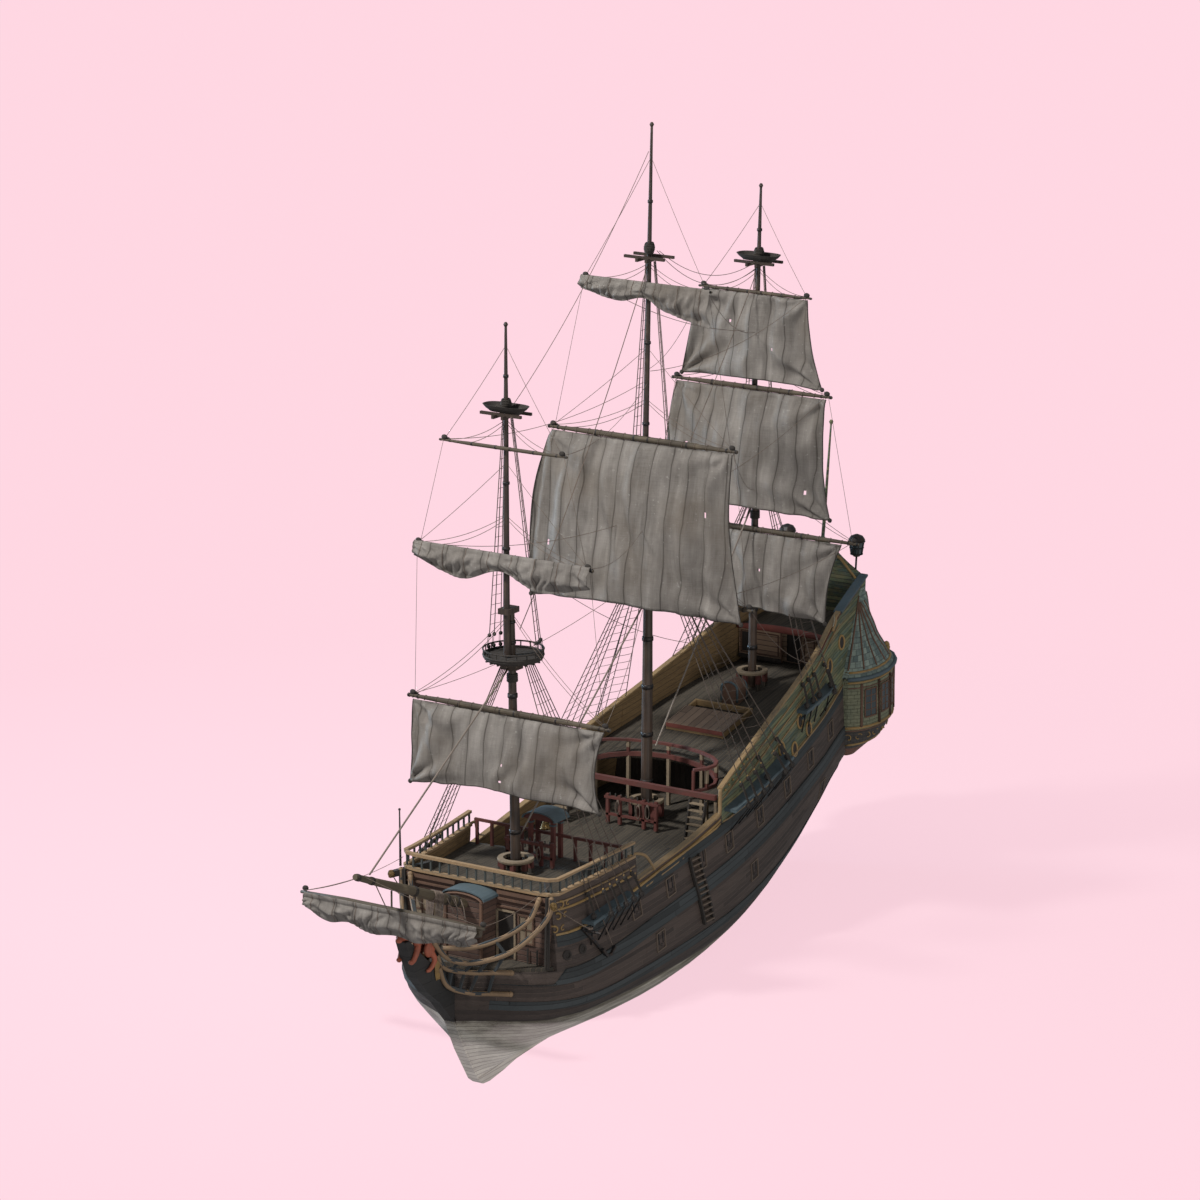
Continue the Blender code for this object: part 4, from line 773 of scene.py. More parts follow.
def frame_on_side(heap, y, z, wide, high, bar, thick):
    """Bars round a rectangle on the side, leaning with the sheer."""
    corners = []
    for across, up in ((-0.5, -0.5), (0.5, -0.5), (0.5, 0.5), (-0.5, 0.5)):
        place, out = on_side(y + across * wide, z + up * high + SIDE_SLOPE * across * wide)
        corners.append(place + out * (thick / 2 - 0.005))
    heap.frame(corners, bar, thick, on_side(y, z)[1])


# Hull trim
wales = Heap()
moulding(wales, WALE_TOP, 0.40, 0.050)
moulding(wales, WALE_MID, 0.52, 0.060)
moulding(wales, WALE_LOW, 0.34, 0.045)
wales.mirror().make("wales", "wale")

trim = Heap()
moulding(trim, WALE_TOP, 0.06, 0.075, y0=-0.7, lift=0.235)
for rows, drop in ((RAIL_AFT, 0.40), (RAIL_WAIST, 0.36)):
    moulding(trim, rows, 0.05, 0.05, lift=-drop)
for y0, y1, lift in ((0.9, 7.6, -0.80), (3.4, 9.3, -1.20)):
    moulding(trim, RAIL_AFT, 0.045, 0.045, y0=y0, y1=y1, lift=lift)
moulding(trim, RAIL_FORE, 0.05, 0.05, lift=-0.28)
trim.mirror().make("side_mouldings", "tan")
strake = Heap()
moulding(strake, WALE_TOP, 0.075, 0.070, y0=-10.9, y1=-0.9, lift=0.235)
moulding(strake, RAIL_WAIST, 0.08, 0.05, lift=-0.18)
moulding(strake, RAIL_FORE, 0.07, 0.05, lift=-0.55)
strake.mirror().make("gold_strakes", "gold")

boards = Heap()
for mast, y0, y1, z0, z1, width, count in CHANNELS:
    rings = []
    for i in range(9):
        t = i / 8
        y = y0 - 0.012 + (y1 - y0 + 0.024) * t
        z = z0 + (z1 - z0) * t
        inner = on_side(y, z - 0.16)[0].x - 0.02
        edge = inner + width + 0.032
        outline = ((inner, -0.105), (edge, -0.105), (edge + 0.02, -0.05), (edge, 0.012), (inner, 0.012))
        rings.append([Vector((x, y, z + up)) for x, up in outline])
    boards.rings(rings)
    for i in range(4):
        t = (i + 0.5) / 4
        y = y0 + (y1 - y0) * t
        z = z0 + (z1 - z0) * t
        foot, top = on_side(y, z - 0.5)[0], on_side(y, z - 0.16)[0]
        boards.beam((top.x + width * 0.8, y, z - 0.10), (foot.x + 0.02, y, z - 0.48), 0.07, 0.09, Y)
boards.mirror().make("channel_boards", "blue")


# How far a cap rail's middle is inside the planks
INBOARD = 0.07


def cap_rail(heap, rows, wide, thick):
    """A rail along the bulwark's top."""
    half = wide / 2
    section = ((-half, 0), (half, 0), (half + 0.015, 0.5), (half, 1), (-half, 1), (-half - 0.015, 0.5))
    rings = []
    for y in steps(rows[0][0], rows[-1][0], 0.4):
        z = smooth_at(rows, y)
        x = on_side(y, z - 0.05)[0].x - INBOARD
        rings.append([Vector((x + across, y, z + 0.001 + thick * up)) for across, up in section])
    heap.rings(rings)


caps = Heap()
cap_rail(caps, RAIL_WAIST, 0.23, 0.07)
cap_rail(caps, RAIL_AFT, 0.20, 0.08)
caps.mirror().make("cap_rails", "tan")
poop_caps = Heap()
cap_rail(poop_caps, RAIL_POOP, 0.36, 0.09)
poop_caps.mirror().make("poop_caps", "blue")
red_lines = Heap()
moulding(red_lines, RAIL_AFT, 0.055, 0.035, y0=8.0, lift=-0.09)
moulding(red_lines, RAIL_POOP, 0.07, 0.05, lift=-0.07)
red_lines.mirror().make("red_lines", "red")

# Gun ports, shut: pale frames, strap hinges and rings
port_frames, straps = Heap(), Heap()
for rows in (PORTS_HIGH, PORTS_LOW):
    for y, z in rows:
        frame_on_side(port_frames, y, z, 0.52, 0.66, 0.035, 0.045)
        place, out = on_side(y, z)
        for dy in (-0.13, 0.13):
            a, _ = on_side(y + dy, z + 0.30 + SIDE_SLOPE * dy)
            b, _ = on_side(y + dy, z - 0.12 + SIDE_SLOPE * dy)
            straps.beam(a + out * 0.012, b + out * 0.012, 0.045, 0.022, out)
        straps.tube(circle(place + out * 0.04 - Z * 0.15, 0.05, 10, Y, Z), 0.010, 4, True)
port_frames.mirror().make("port_frames", "lid")
straps.mirror().make("port_straps", "iron")

rims, panes = Heap(), Heap()
for y, z in ROUND_PORTS:
    place, out = on_side(y, z)
    side = Vector((-out.y, out.x, 0)).normalized()
    up = out.cross(side)
    rims.tube(circle(place + out * 0.02, 1.0, 24, side * 0.22, up * 0.27), 0.042, 6, True)
    inner = circle(place + out * 0.012, 1.0, 24, side * 0.21, up * 0.26)
    panes.rings([inner, [p + out * 0.010 for p in inner]])
for y in steps(-0.5, 1.3, 0.30):
    z = smooth_at(RAIL_AFT, y) - 0.16
    place, out = on_side(y, z)
    rims.ball(place + out * 0.03, (0.045, 0.05, 0.05), 8, 4)
rims.mirror().make("port_rims", "gold", smooth=True)
panes.mirror().make("port_panes", "dark", slot="black_iron")


def scroll(heap, y, z, size, flip, radius):
    """One plain curl on the side."""
    path = []
    for across, up in curl(22, 1.2, 4.6, size, 0.82):
        place, out = on_side(y + flip * across, z + up + SIDE_SLOPE * flip * across)
        path.append(place + out * 0.012)
    heap.tube(path, [radius * (1.0 - 0.5 * i / len(path)) for i in range(len(path))], 5)


# Side ladder, hung over the waist
ladder, rungs = Heap(), Heap()


def ladder_place(t, aside, away):
    """A place on the side ladder: t from its head down, aside and away from the planks."""
    place, out = on_side(-2.95 + 0.55 * t + aside, 4.10 - 2.60 * t)
    return place + out * away


for aside in (-0.30, 0.30):
    path = [ladder_place(k / 8, aside, 0.09) for k in range(9)]
    for a, b in zip(path, path[1:]):
        ladder.beam(a, b, 0.09, 0.10, X)
for k in range(12):
    middle = ladder_place((k + 0.5) / 12, 0.0, 0.10)
    rungs.beam(middle - Y * 0.28, middle + Y * 0.28, 0.16, 0.05)
ladder.mirror().make("side_ladder_stringers", "dark")
rungs.mirror().make("side_ladder_steps", "lid")


# Shrouds, deadeyes, chains and ratlines

def hang(a, b, sag=0.0, count=12):
    """Points from a to b, sagging in the middle."""
    a, b = Vector(a), Vector(b)
    return [a.lerp(b, t) - Z * (sag * 4 * t * (1 - t)) for t in (i / count for i in range(count + 1))]


def deadeye(heap, place, size=0.10):
    """A round wooden block that faces outward."""
    section = ((-0.045, size * 0.8), (0.0, size), (0.045, size * 0.8))
    heap.rings([circle(place + X * depth, r, 12, Y, Z) for depth, r in section])


def ladder_of(heap, thin, feet, heads, radius, step, thin_radius):
    """Ropes from feet to heads with ratlines across them."""
    lines = []
    for a, b in zip(feet, heads):
        heap.tube([a, b], radius, 6)
        lines.append((Vector(a), Vector(b)))
    length = (lines[0][1] - lines[0][0]).length
    for k in range(1, int(length / step)):
        t = k * step / length
        across = [a.lerp(b, t) for a, b in lines]
        path = []
        for p, q in zip(across, across[1:]):
            path += hang(p, q, 0.012, 3)[:-1]
        path.append(across[-1])
        thin.tube(path, thin_radius, 4)


shrouds, rats, eyes, chains, lanyards, knobs = Heap(), Heap(), Heap(), Heap(), Heap(), Heap()
for name, y0, y1, z0, z1, width, count in CHANNELS:
    platform, cross = MASTS[name][2], MASTS[name][4]
    feet, heads = [], []
    for i in range(count):
        t = (i + 0.4) / count
        cy = y0 + (y1 - y0) * t
        cz = z0 + (z1 - z0) * t
        place, out = on_side(cy, cz)
        x = place.x + width - 0.09
        mast_y = mast_at(name, platform - 0.35)[0]
        head = Vector((0.44, mast_y + 0.08 + 0.60 * t, platform - 0.16))
        low = Vector((x, cy, cz + 0.14))
        run = (head - low).normalized()
        high = low + run * 0.80
        deadeye(eyes, low)
        deadeye(eyes, high)
        for d in (-0.05, 0.0, 0.05):
            aside = Vector((0.05, d, 0))
            lanyards.tube([low + aside, high + aside], 0.017, 4)
        knobs.ball(high + run * 0.10, (0.035, 0.035, 0.05), 8, 4)
        feet.append(high + run * 0.08)
        heads.append(head)
        foot, foot_out = on_side(cy + 0.05, cz - 0.95)
        chains.beam(Vector((x, cy, cz + 0.06)), foot + foot_out * 0.03, 0.05, 0.022, Y)
        chains.tube(circle(low, 1.0, 12, (0.05, 0.115, 0), Z * 0.115), 0.014, 4, True)
    ladder_of(shrouds, rats, feet, heads, 0.017, 0.40, 0.010)
    # from the top's rim up to the crosstrees
    mast_y = mast_at(name, cross, True)[0]
    low_y = mast_at(name, platform)[0]
    rim = TOP_R[name] - 0.03
    feet, heads = [], []
    for i in range(3):
        dy = 0.02 + i * 0.26
        x = math.sqrt(rim * rim - dy * dy) - 0.02
        foot = Vector((x, low_y + 0.05 + dy, platform + 0.22))
        head = Vector((0.17, mast_y + 0.05 + 0.06 * i, cross - 0.10))
        run = (head - foot).normalized()
        deadeye(eyes, foot, 0.075)
        deadeye(eyes, foot + run * 0.42, 0.075)
        for d in (-0.035, 0.035):
            aside = Vector((0.04, d, 0))
            lanyards.tube([foot + aside, foot + run * 0.42 + aside], 0.010, 4)
        feet.append(foot + run * 0.48)
        heads.append(head)
    ladder_of(shrouds, rats, feet, heads, 0.016, 0.36, 0.009)
shrouds.mirror().make("shrouds", "shroud", smooth=True)
rats.mirror().make("ratlines", "shroud")
knobs.mirror().make("shroud_knobs", "gold", smooth=True)
eyes.mirror().make("deadeyes", "dark")
chains.mirror().make("chain_plates", "iron")
lanyards.mirror().make("lanyards", "tarred")

# Stays and other fixed lines on the centreline
stays = Heap()
main_y = mast_at("main", 25.0, True)[0]
mizzen_y = mast_at("mizzen", 23.6, True)[0]
FIXED_LINES = (
    ((0, main_y - 0.09, 24.9), (0, -8.35, 13.2), 0.55, 0.017),
    ((0, main_y - 0.05, 29.0), (0, -8.75, 21.3), 0.50, 0.012),
    ((0, mizzen_y - 0.09, 23.5), (0, 0.35, 15.2), 0.30, 0.015),
    ((0.05, mast_at("main", 24.0)[0] + 0.5, 25.3), (0.05, mizzen_y, 23.9), 0.75, 0.012),
    ((-0.05, mast_at("main", 24.0)[0] + 0.5, 25.3), (-0.05, mizzen_y, 23.6), 0.95, 0.012),
    ((0, -17.2, 6.15), (0, -15.35, 3.30), 0.05, 0.020),
)
for a, b, sag, radius in FIXED_LINES:
    stays.tube(hang(a, b, sag, 20), radius, 5)
stays.make("stays", "rope", smooth=True)

# Lifts and braces hang between a yard and the ship
LASHING_STEP, BARE_MIDDLE = 0.52, 0.30
# Where each yard's braces go: to a mast or the rail, and how high
BRACE_TO = {
    "fore_course": ("main", 13.4),
    "fore_topsail": ("main", 15.6),
    "fore_topgallant": ("main", 20.6),
    "main_course": ("rail", 8.6),
    "main_topsail": ("mizzen", 15.2),
    "main_topgallant": ("mizzen", 21.2),
    "mizzen_course": ("main", 12.2),
    "mizzen_topsail": ("main", 15.9),
    "mizzen_topgallant": ("main", 21.0),
}
for name, (mast, z, half_length, radius) in YARDS.items():
    y = yard_y(name)
    level = name.split("_")[1]
    high = level != "course"
    platform, cap, cross, truck = MASTS[mast][2:6]
    reach = half_length - 0.22
    top_z = {"course": cap - 0.15, "topsail": z + 3.2, "topgallant": cross + (truck - cross) * 0.72}[level]
    sag_z = {"course": platform - 0.30, "topsail": z + 1.35, "topgallant": cross - 0.22}[level]
    mast_y, mast_r = mast_at(mast, top_z, high)
    low_y, low_r = mast_at(mast, sag_z, high)
    blocks, bands, lashings = Heap(), Heap(), Heap()
    for side in (-1, 1):
        arm = Vector((side * reach, y, z + radius * 0.6))
        label = "port" if side > 0 else "starboard"
        lift = Heap()
        end = Vector((side * (mast_r + 0.01), mast_y, top_z))
        if level != "course":
            lift.tube(hang(arm, end, 0.06, 12), 0.010, 4)
            end = Vector((side * (low_r + 0.01), low_y, sag_z))
        for drop in (0.0, 0.12):
            start = arm + Vector((0, 0.03, -drop * 0.4))
            lift.tube(hang(start, end - Z * drop, 0.22 + drop, 18), 0.011, 4)
        made = lift.make(name + "_lift_" + label, "rope", None, True)
        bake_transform(made)
        where, to_z = BRACE_TO[name]
        if where == "rail":
            end = Vector((side * 2.55, 8.0, to_z))
        else:
            to_y, to_r = mast_at(where, to_z, to_z > MASTS[where][3])
            aft = 0.08 if where == "main" and mast == "mizzen" else -0.08
            end = Vector((side * to_r * 0.9, to_y + aft, to_z))
        brace = Heap()
        brace.tube(hang(arm, end, 0.55, 22), 0.011, 4)
        made = brace.make(name + "_brace_" + label, "rope", None, True)
        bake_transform(made)
        blocks.ball(arm + Vector((0, 0.0, 0.06)), (0.13, 0.075, 0.095))
        blocks.ball(arm + Vector((side * -0.05, 0.14, -0.04)), (0.07, 0.10, 0.07))
        for x, part, half in ((half_length - 0.06, 0.62, 0.03), (half_length - 0.45, 0.72, 0.025),
                              (half_length * 0.48, 0.99, 0.03), (0.30, 1.0, 0.03)):
            bands.lathe((side * x, y, z), ((radius * part, -half), (radius * part, half)), 12, "x")
    count = int(half_length * 2 / LASHING_STEP) if name in SET_SAILS or name in FURLED else 0
    for k in range(count + 1 if count else 0):
        x = -half_length + 0.25 + (half_length * 2 - 0.5) * k / count
        if abs(x) < BARE_MIDDLE:
            continue
        r = radius * (1.0 - max(0.0, abs(x) / half_length - 0.5)) + 0.008
        lashings.tube(circle((x, y, z), 1.0, 10, Y * r, (0.02, 0, r)), 0.011, 4, True)
    blocks.make(name + "_blocks", "dark", name + "_yard", True)
    bands.make(name + "_bands", "iron", name + "_yard")
    if lashings.verts:
        lashings.make(name + "_lashings", "rope", name + "_yard")


# Lines that hang from one yard to the next one below it
YARD_BELOW = {
    "fore_topsail": "fore_course",
    "fore_topgallant": "fore_topsail",
    "main_topgallant": "main_topsail",
    "main_topsail": "main_course",
    "mizzen_topsail": "mizzen_course",
}
for upper, lower in YARD_BELOW.items():
    lines = Heap()
    for side in (-1, 1):
        ends = []
        for name, inward, way, lift in ((upper, 0.15, -0.6, 0.0), (lower, 0.30, 0.6, 0.03)):
            _, z, half_length, radius = YARDS[name]
            ends.append((side * (half_length - inward), yard_y(name) + 0.02, z + radius * way + lift))
        lines.tube(hang(*ends, 0.0, 2), 0.009, 4)
    lines.make(upper + "_sheets", "rope", upper + "_yard", True)

# Sails


def canvas_sheet(name, grid, flat_uv, holes=(), close=0.012):
    """A sheet from a grid of points, with its flat size given for each point."""
    rows, wide = len(grid), len(grid[0])
    verts = [p for row in grid for p in row]
    faces = []
    for j in range(rows - 1):
        for i in range(wide - 1):
            if (i, j) in holes:
                continue
            faces.append((j * wide + i, j * wide + i + 1, (j + 1) * wide + i + 1, (j + 1) * wide + i))
    mesh = bpy.data.meshes.new(name + "_cloth")
    mesh.from_pydata(verts, [], faces)
    layer = mesh.uv_layers.new(name="flat")
    for poly in mesh.polygons:
        for loop in poly.loop_indices:
            k = mesh.loops[loop].vertex_index
            layer.data[loop].uv = flat_uv[k // wide][k % wide]
    mesh.update()
    made = bpy.data.objects.new(name + "_cloth", mesh)
    bpy.context.collection.objects.link(made)
    mesh.materials.append(MAT["canvas"])
    mesh.shade_smooth()
    thick = made.modifiers.new("thick", "SOLIDIFY")
    thick.thickness = close
    thick.offset = 0.0
    return made


def sail_point(name, u, t, seed):
    """A point of a set sail: u across from -1 to 1, t from the yard down."""
    top, foot, foot_z, belly, rise = SET_SAILS[name]
    z, radius = YARDS[name][1], YARDS[name][3]
    y = yard_y(name) - 0.015
    z = z - radius * 0.92 - 0.0006
    wide = top + (foot - top) * t
    x = u * wide * (1 - 0.06 * math.sin(math.pi * t))
    drop = foot_z + rise * (1 - u * u) * t
    height = z + (drop - z) * t
    flat_edge = 0.42 if u < 0 else 0.75
    depth = belly * t ** 0.7 * (1.35 - 0.55 * t) * (1 - flat_edge * u * u)
    if u < 0:
        x -= (0.62 if name == "main_topsail" else 0.18) * u * u * math.sin(math.pi * t ** 0.9)
    # soft upright folds that wander, drawn lines towards the corners, and slow unevenness
    wander = noise.noise(Vector((x * 0.35, t * 1.6, seed))) * 2.2
    strength = 0.40 + 0.75 * noise.noise(Vector((x * 0.5 + 7.0, t * 1.2, seed + 3.0)))
    ease = min(1.0, t / 0.04)
    wave = math.sin(2 * math.pi * x / 1.45 + wander * 2.6)
    fold = 0.150 * strength * math.copysign(abs(wave) ** 0.75, wave)
    fold += 0.035 * math.sin(2 * math.pi * x / 0.60 + wander * 3.6) * (1.0 - 0.75 * t)
    tall = z - foot_z
    for side in (-1, 1):
        in_from = max(0.02, side * (side * wide - x))
        for at_foot, size in ((True, 0.170), (False, 0.110)):
            rise_from = (1 - t) * tall if at_foot else t * tall
            away = math.hypot(in_from, rise_from)
            turn = math.atan2(rise_from, in_from)
            bend = turn + 0.10 * noise.noise(Vector((away * 0.9, seed, turn * 2.0)))
            fold += size * math.sin(bend * 8.5 + seed + side) * math.exp(-away / 2.6) * min(1.0, away / 0.7)
    fold += 0.20 * noise.noise(Vector((x * 0.50, height * 0.38, seed + 9.0)))
    fold += 0.05 * noise.noise(Vector((x * 1.9, height * 1.1, seed + 5.0)))
    edge = min(1.0, (1.0 - abs(u)) / 0.03 + 0.35)
    return (x, y - depth - fold * ease * edge, height)


ACROSS, DOWN = 88, 60
for seed, name in enumerate(SET_SAILS):
    foot_z = SET_SAILS[name][2]
    z = YARDS[name][1]
    grid, flat_uv = [], []
    for j in range(DOWN + 1):
        t = j / DOWN
        row, uv = [], []
        for i in range(ACROSS + 1):
            u = 2 * i / ACROSS - 1
            p = sail_point(name, u, t, seed * 11.3)
            row.append(p)
            uv.append((p[0], (z - foot_z) * t))
        grid.append(row)
        flat_uv.append(uv)
    holes = set()
    for k in range(2):
        a = int((0.5 + 0.40 * math.sin(3.1 * k + seed * 1.7)) * ACROSS)
        b = int((0.58 + 0.32 * math.sin(5.3 * k + seed * 2.9 + 1.0)) * DOWN)
        for d in range(2):
            holes.add((a, b + d))
    cloth = canvas_sheet(name, grid, flat_uv, holes)
    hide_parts(name)
    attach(cloth, name + "_yard")
    border = Heap()
    left = [Vector(grid[j][0]) for j in range(0, DOWN + 1, 2)]
    bottom = [Vector(grid[DOWN][i]) for i in range(0, ACROSS + 1, 2)]
    right = [Vector(grid[j][ACROSS]) for j in range(DOWN, -1, -2)]
    border.tube(left + bottom[1:] + right[1:], 0.020, 5)
    for corner in (bottom[0], bottom[-1]):
        border.ball(corner, (0.09, 0.07, 0.09))
    border.make(name + "_boltrope", "tarred", name + "_yard", True, "sailcloth")


def furled_cloth(name, x0, x1, y, z, radius, drop_at, seed, body, low=0.0):
    """A bundle of gathered cloth under a yard, in deep folds, wrapped over the yard's fore side."""
    count = int((x1 - x0) / 0.030)
    grid, flat_uv = [], []
    rows = 30
    for j in range(rows + 1):
        t = j / rows
        row, uv = [], []
        for i in range(count + 1):
            u = i / count
            x = x0 + (x1 - x0) * u
            drop = drop_at(x)
            # profile: from the yard's top aft side, over its front, then down and tucked back under
            if t < 0.18:
                turn = math.radians(20 + low + 70 * t / 0.18)
                base_y = y - (radius + 0.022) * math.sin(turn)
                base_z = z + (radius + 0.022) * math.cos(turn)
            else:
                s = (t - 0.18) / 0.82
                hold = math.radians(90 + low)
                base_y = y - (radius + 0.022) * math.sin(hold)
                base_y += 0.03 * s - 0.15 * math.sin(math.pi * min(1.0, s * 1.15))
                base_z = z + (radius + 0.022) * math.cos(hold) - (drop + radius * 0.5) * s ** 0.92
                deep = 0.35 + 0.65 * math.sin(math.pi * min(1.0, s))
                wander = noise.noise(Vector((x * 0.8, s * 2.2, seed))) * 2.6
                swing = x + 0.55 * s * math.sin(x * 1.9 + seed)
                fold = 0.042 * math.sin(2 * math.pi * swing / 0.46 + wander * 2.0)
                fold += 0.085 * noise.noise(Vector((x * 1.5, s * 2.2, seed + 5.0)))
                swag = 0.040 * math.sin(2 * math.pi * (s * 1.6 + 0.55 * math.sin(x * 1.7 + seed)) + x * 2.3)
                base_y -= (fold + swag) * deep * min(1.0, s / 0.12)
            row.append((x, base_y, base_z))
            uv.append((x, t * 2.2))
        grid.append(row)
        flat_uv.append(uv)
    cloth = canvas_sheet(name, grid, flat_uv, ())
    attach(cloth, body)
    ties = Heap()
    for x in steps(x0 + 0.35, x1 - 0.35, 0.95):
        i = min(count, max(0, round((x - x0) / (x1 - x0) * count)))
        around = [Vector(grid[j][i]) + Vector((0, -0.014, 0)) for j in range(0, rows + 1, 2)]
        ties.tube(around, 0.013, 5)
    ties.make(name + "_gaskets", "rope", body, True, "sailcloth")
    return cloth


for seed, (name, (wide, edge)) in enumerate(FURLED.items()):
    z, radius = YARDS[name][1], YARDS[name][3]
    cloth = furled_cloth(name, -wide, wide, yard_y(name), z, radius,
                         lambda x, rows=edge, w=wide: smooth_at(rows, x / w), 4.0 + seed * 6.0,
                         name + "_yard")
    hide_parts(name)


# Masts: iron bands, rope wooldings and cap lashings
bands, wraps = Heap(), Heap()


def mast_band(z, cy, r, out, half, soft, sides):
    """An iron band with chamfered edges."""
    grown = r + out
    bands.lathe((0, cy, z), ((r, -half), (grown, -soft), (grown, soft), (r, half)), sides)


for name, (_, deck, platform, cap, cross, truck, *_) in MASTS.items():
    for z in steps(deck + 1.5, platform - 1.4, 1.75):
        cy, r = mast_at(name, z)
        mast_band(z, cy, r + 0.002, 0.028, 0.09, 0.07, 20)
        bands.ball((0, cy - r - 0.03, z), (0.05, 0.035, 0.05), 8, 4)
    for z in (platform + 0.55, cap - 0.35):
        cy, r = mast_at(name, z)
        mast_band(z, cy, r + 0.002, 0.023, 0.06, 0.05, 20)
    for z in (cap + (cross - cap) * 0.33, cap + (cross - cap) * 0.66, cross + (truck - cross) * 0.42):
        cy, r = mast_at(name, z, True)
        mast_band(z, cy, r + 0.001, 0.027, 0.06, 0.045, 16)
    for k in range(7):
        z = cross + 0.22 + k * 0.055
        cy, r = mast_at(name, z, True)
        size = r + 0.05 + 0.05 * math.sin(math.pi * (k + 0.5) / 7)
        wraps.tube(circle((0, cy, z), 1.0, 14, X * size, (0, size, 0.015)), 0.030, 5, True)
    for k in range(5):
        z = platform - 0.62 - k * 0.06
        cy, r = mast_at(name, z)
        wraps.tube(circle((0, cy, z), r + 0.03, 16), 0.034, 5, True)
bands.make("mast_bands", "iron", smooth=True)
wraps.make("mast_wooldings", "tarred", slot="spar_timber", smooth=True)

# Tops: a raised rim and radial ribs below, and shallow trays at two mastheads
rim_heap, rib_heap = Heap(), Heap()
# A tray's rings: height over the crosstrees, half width, half depth
TRAY = ((0.125, 0.62, 0.26), (0.25, 0.80, 0.36), (0.36, 0.90, 0.42),
        (0.36, 0.85, 0.38), (0.25, 0.76, 0.33), (0.15, 0.58, 0.23))


def tray_ring(y, z, wide, deep):
    """A ring between an oval and a rectangle."""
    ring = []
    for t in angles(28):
        across = math.copysign(abs(math.cos(t)) ** 0.6, math.cos(t))
        along = math.copysign(abs(math.sin(t)) ** 0.8, math.sin(t))
        ring.append(Vector((wide * across, y + deep * along, z)))
    return ring


for name in MASTS:
    cross = MASTS[name][4]
    low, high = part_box(name + "_top")
    cx_y = (low[1] + high[1]) / 2
    r = (high[0] - low[0]) / 2
    z = high[2]
    for lift, size, thick in ((0.03, r - 0.02, 0.045), (0.24, r + 0.0, 0.030)):
        rim_heap.tube(circle((0, cx_y, z + lift), size, 36), thick, 6, True)
    for k in range(18):
        t = 2 * math.pi * (k + 0.5) / 18
        c, s = math.cos(t), math.sin(t)
        post = Vector(((r - 0.01) * c, cx_y + (r - 0.01) * s, z))
        rim_heap.beam(post, post + Z * 0.25, 0.04, 0.03, (c, s, 0))
        long = r - 0.06
        rib_heap.beam((0.36 * c, cx_y + 0.36 * s, z - 0.175), (long * c, cx_y + long * s, z - 0.17), 0.05,
                      0.05)
    if name != "main":
        cy = mast_at(name, cross + 0.1, True)[0]
        rim_heap.rings([tray_ring(cy, cross + up, wide, deep) for up, wide, deep in TRAY])
rim_heap.make("top_rims", "dark")
rib_heap.make("top_ribs", "spar")

# Quarter galleries: mouldings, windows, ribs and a carved band, set on the bay's surface
GALLERY_MID = Vector((2.05, 11.87, 0))
HOOP_FROM, HOOP_TO = -100, 118
BAY_TILT = 0.17


def on_gallery(turn, z):
    """The bay's surface in a direction from its middle, at a height on its tilt."""
    way = Vector((math.cos(turn), math.sin(turn), BAY_TILT * math.sin(turn)))
    start = GALLERY_MID + Z * z + way * 3.0
    hit = GALLERY.ray_cast(start, -way)
    if hit[0] is None:
        return None, way
    return hit[0], Vector((way.x, way.y, 0)).normalized()


def gallery_hoop(heap, z, radius):
    """A moulding round the bay at one height."""
    path = []
    for k in range(40):
        turn = math.radians(HOOP_FROM + (HOOP_TO - HOOP_FROM) * k / 39)
        place = on_gallery(turn, z)[0]
        if place is not None and place.x > 0.9:
            path.append(place)
    if len(path) > 3:
        heap.tube(path, radius, 6)


gallery_gold, gallery_blue, gallery_brown, gallery_glass, gallery_rib = Heap(), Heap(), Heap(), Heap(), Heap()
for z, radius, heap in ((7.66, 0.075, gallery_blue), (7.50, 0.045, gallery_gold), (7.84, 0.05, gallery_gold),
                        (5.72, 0.055, gallery_gold), (5.60, 0.035, gallery_brown), (4.98, 0.05, gallery_gold),
                        (7.28, 0.03, gallery_brown)):
    gallery_hoop(heap, z, radius)
WINDOW_LOW, WINDOW_HIGH, HALF_WINDOW = 6.10, 7.18, math.radians(9.5)
for k in range(6):
    turn = math.radians(-38 + 30 * k)
    rings = []
    for j in range(7):
        a = turn - HALF_WINDOW + 2 * HALF_WINDOW * j / 6
        low, way = on_gallery(a, WINDOW_LOW)
        high, _ = on_gallery(a, WINDOW_HIGH)
        if low is None or high is None:
            rings = []
            break
        rings.append([low - way * 0.01, low + way * 0.018, high + way * 0.018, high - way * 0.01])
    if not rings:
        continue
    gallery_glass.rings(rings)
    for j in (0, 3, 6):
        gallery_brown.tube(rings[j][1:3], 0.032 if j != 3 else 0.022, 5)
    for t in (0.0, 0.25, 0.5, 0.75, 1.0):
        path = [ring[1].lerp(ring[2], t) for ring in rings]
        gallery_brown.tube(path, 0.036 if t in (0.0, 1.0) else 0.016, 5)
    for side in (-1, 1):
        a = turn + side * math.radians(15)
        low, way = on_gallery(a, 5.74)
        high, _ = on_gallery(a, 7.42)
        if low is not None and high is not None:
            middle = low.lerp(high, 0.5)
            gallery_brown.tube([low + way * 0.01, middle + way * 0.02, high + way * 0.01],
                               [0.06, 0.045, 0.06], 6)
for k in range(8):
    turn = math.radians(-75 + 27 * k)
    path = []
    for z in steps(7.92, 10.3, 0.22):
        place, way = on_gallery(turn, z)
        if place is not None and place.x > 1.0:
            path.append(place + way * 0.008)
    if len(path) > 2:
        gallery_rib.tube(path, 0.034, 5)
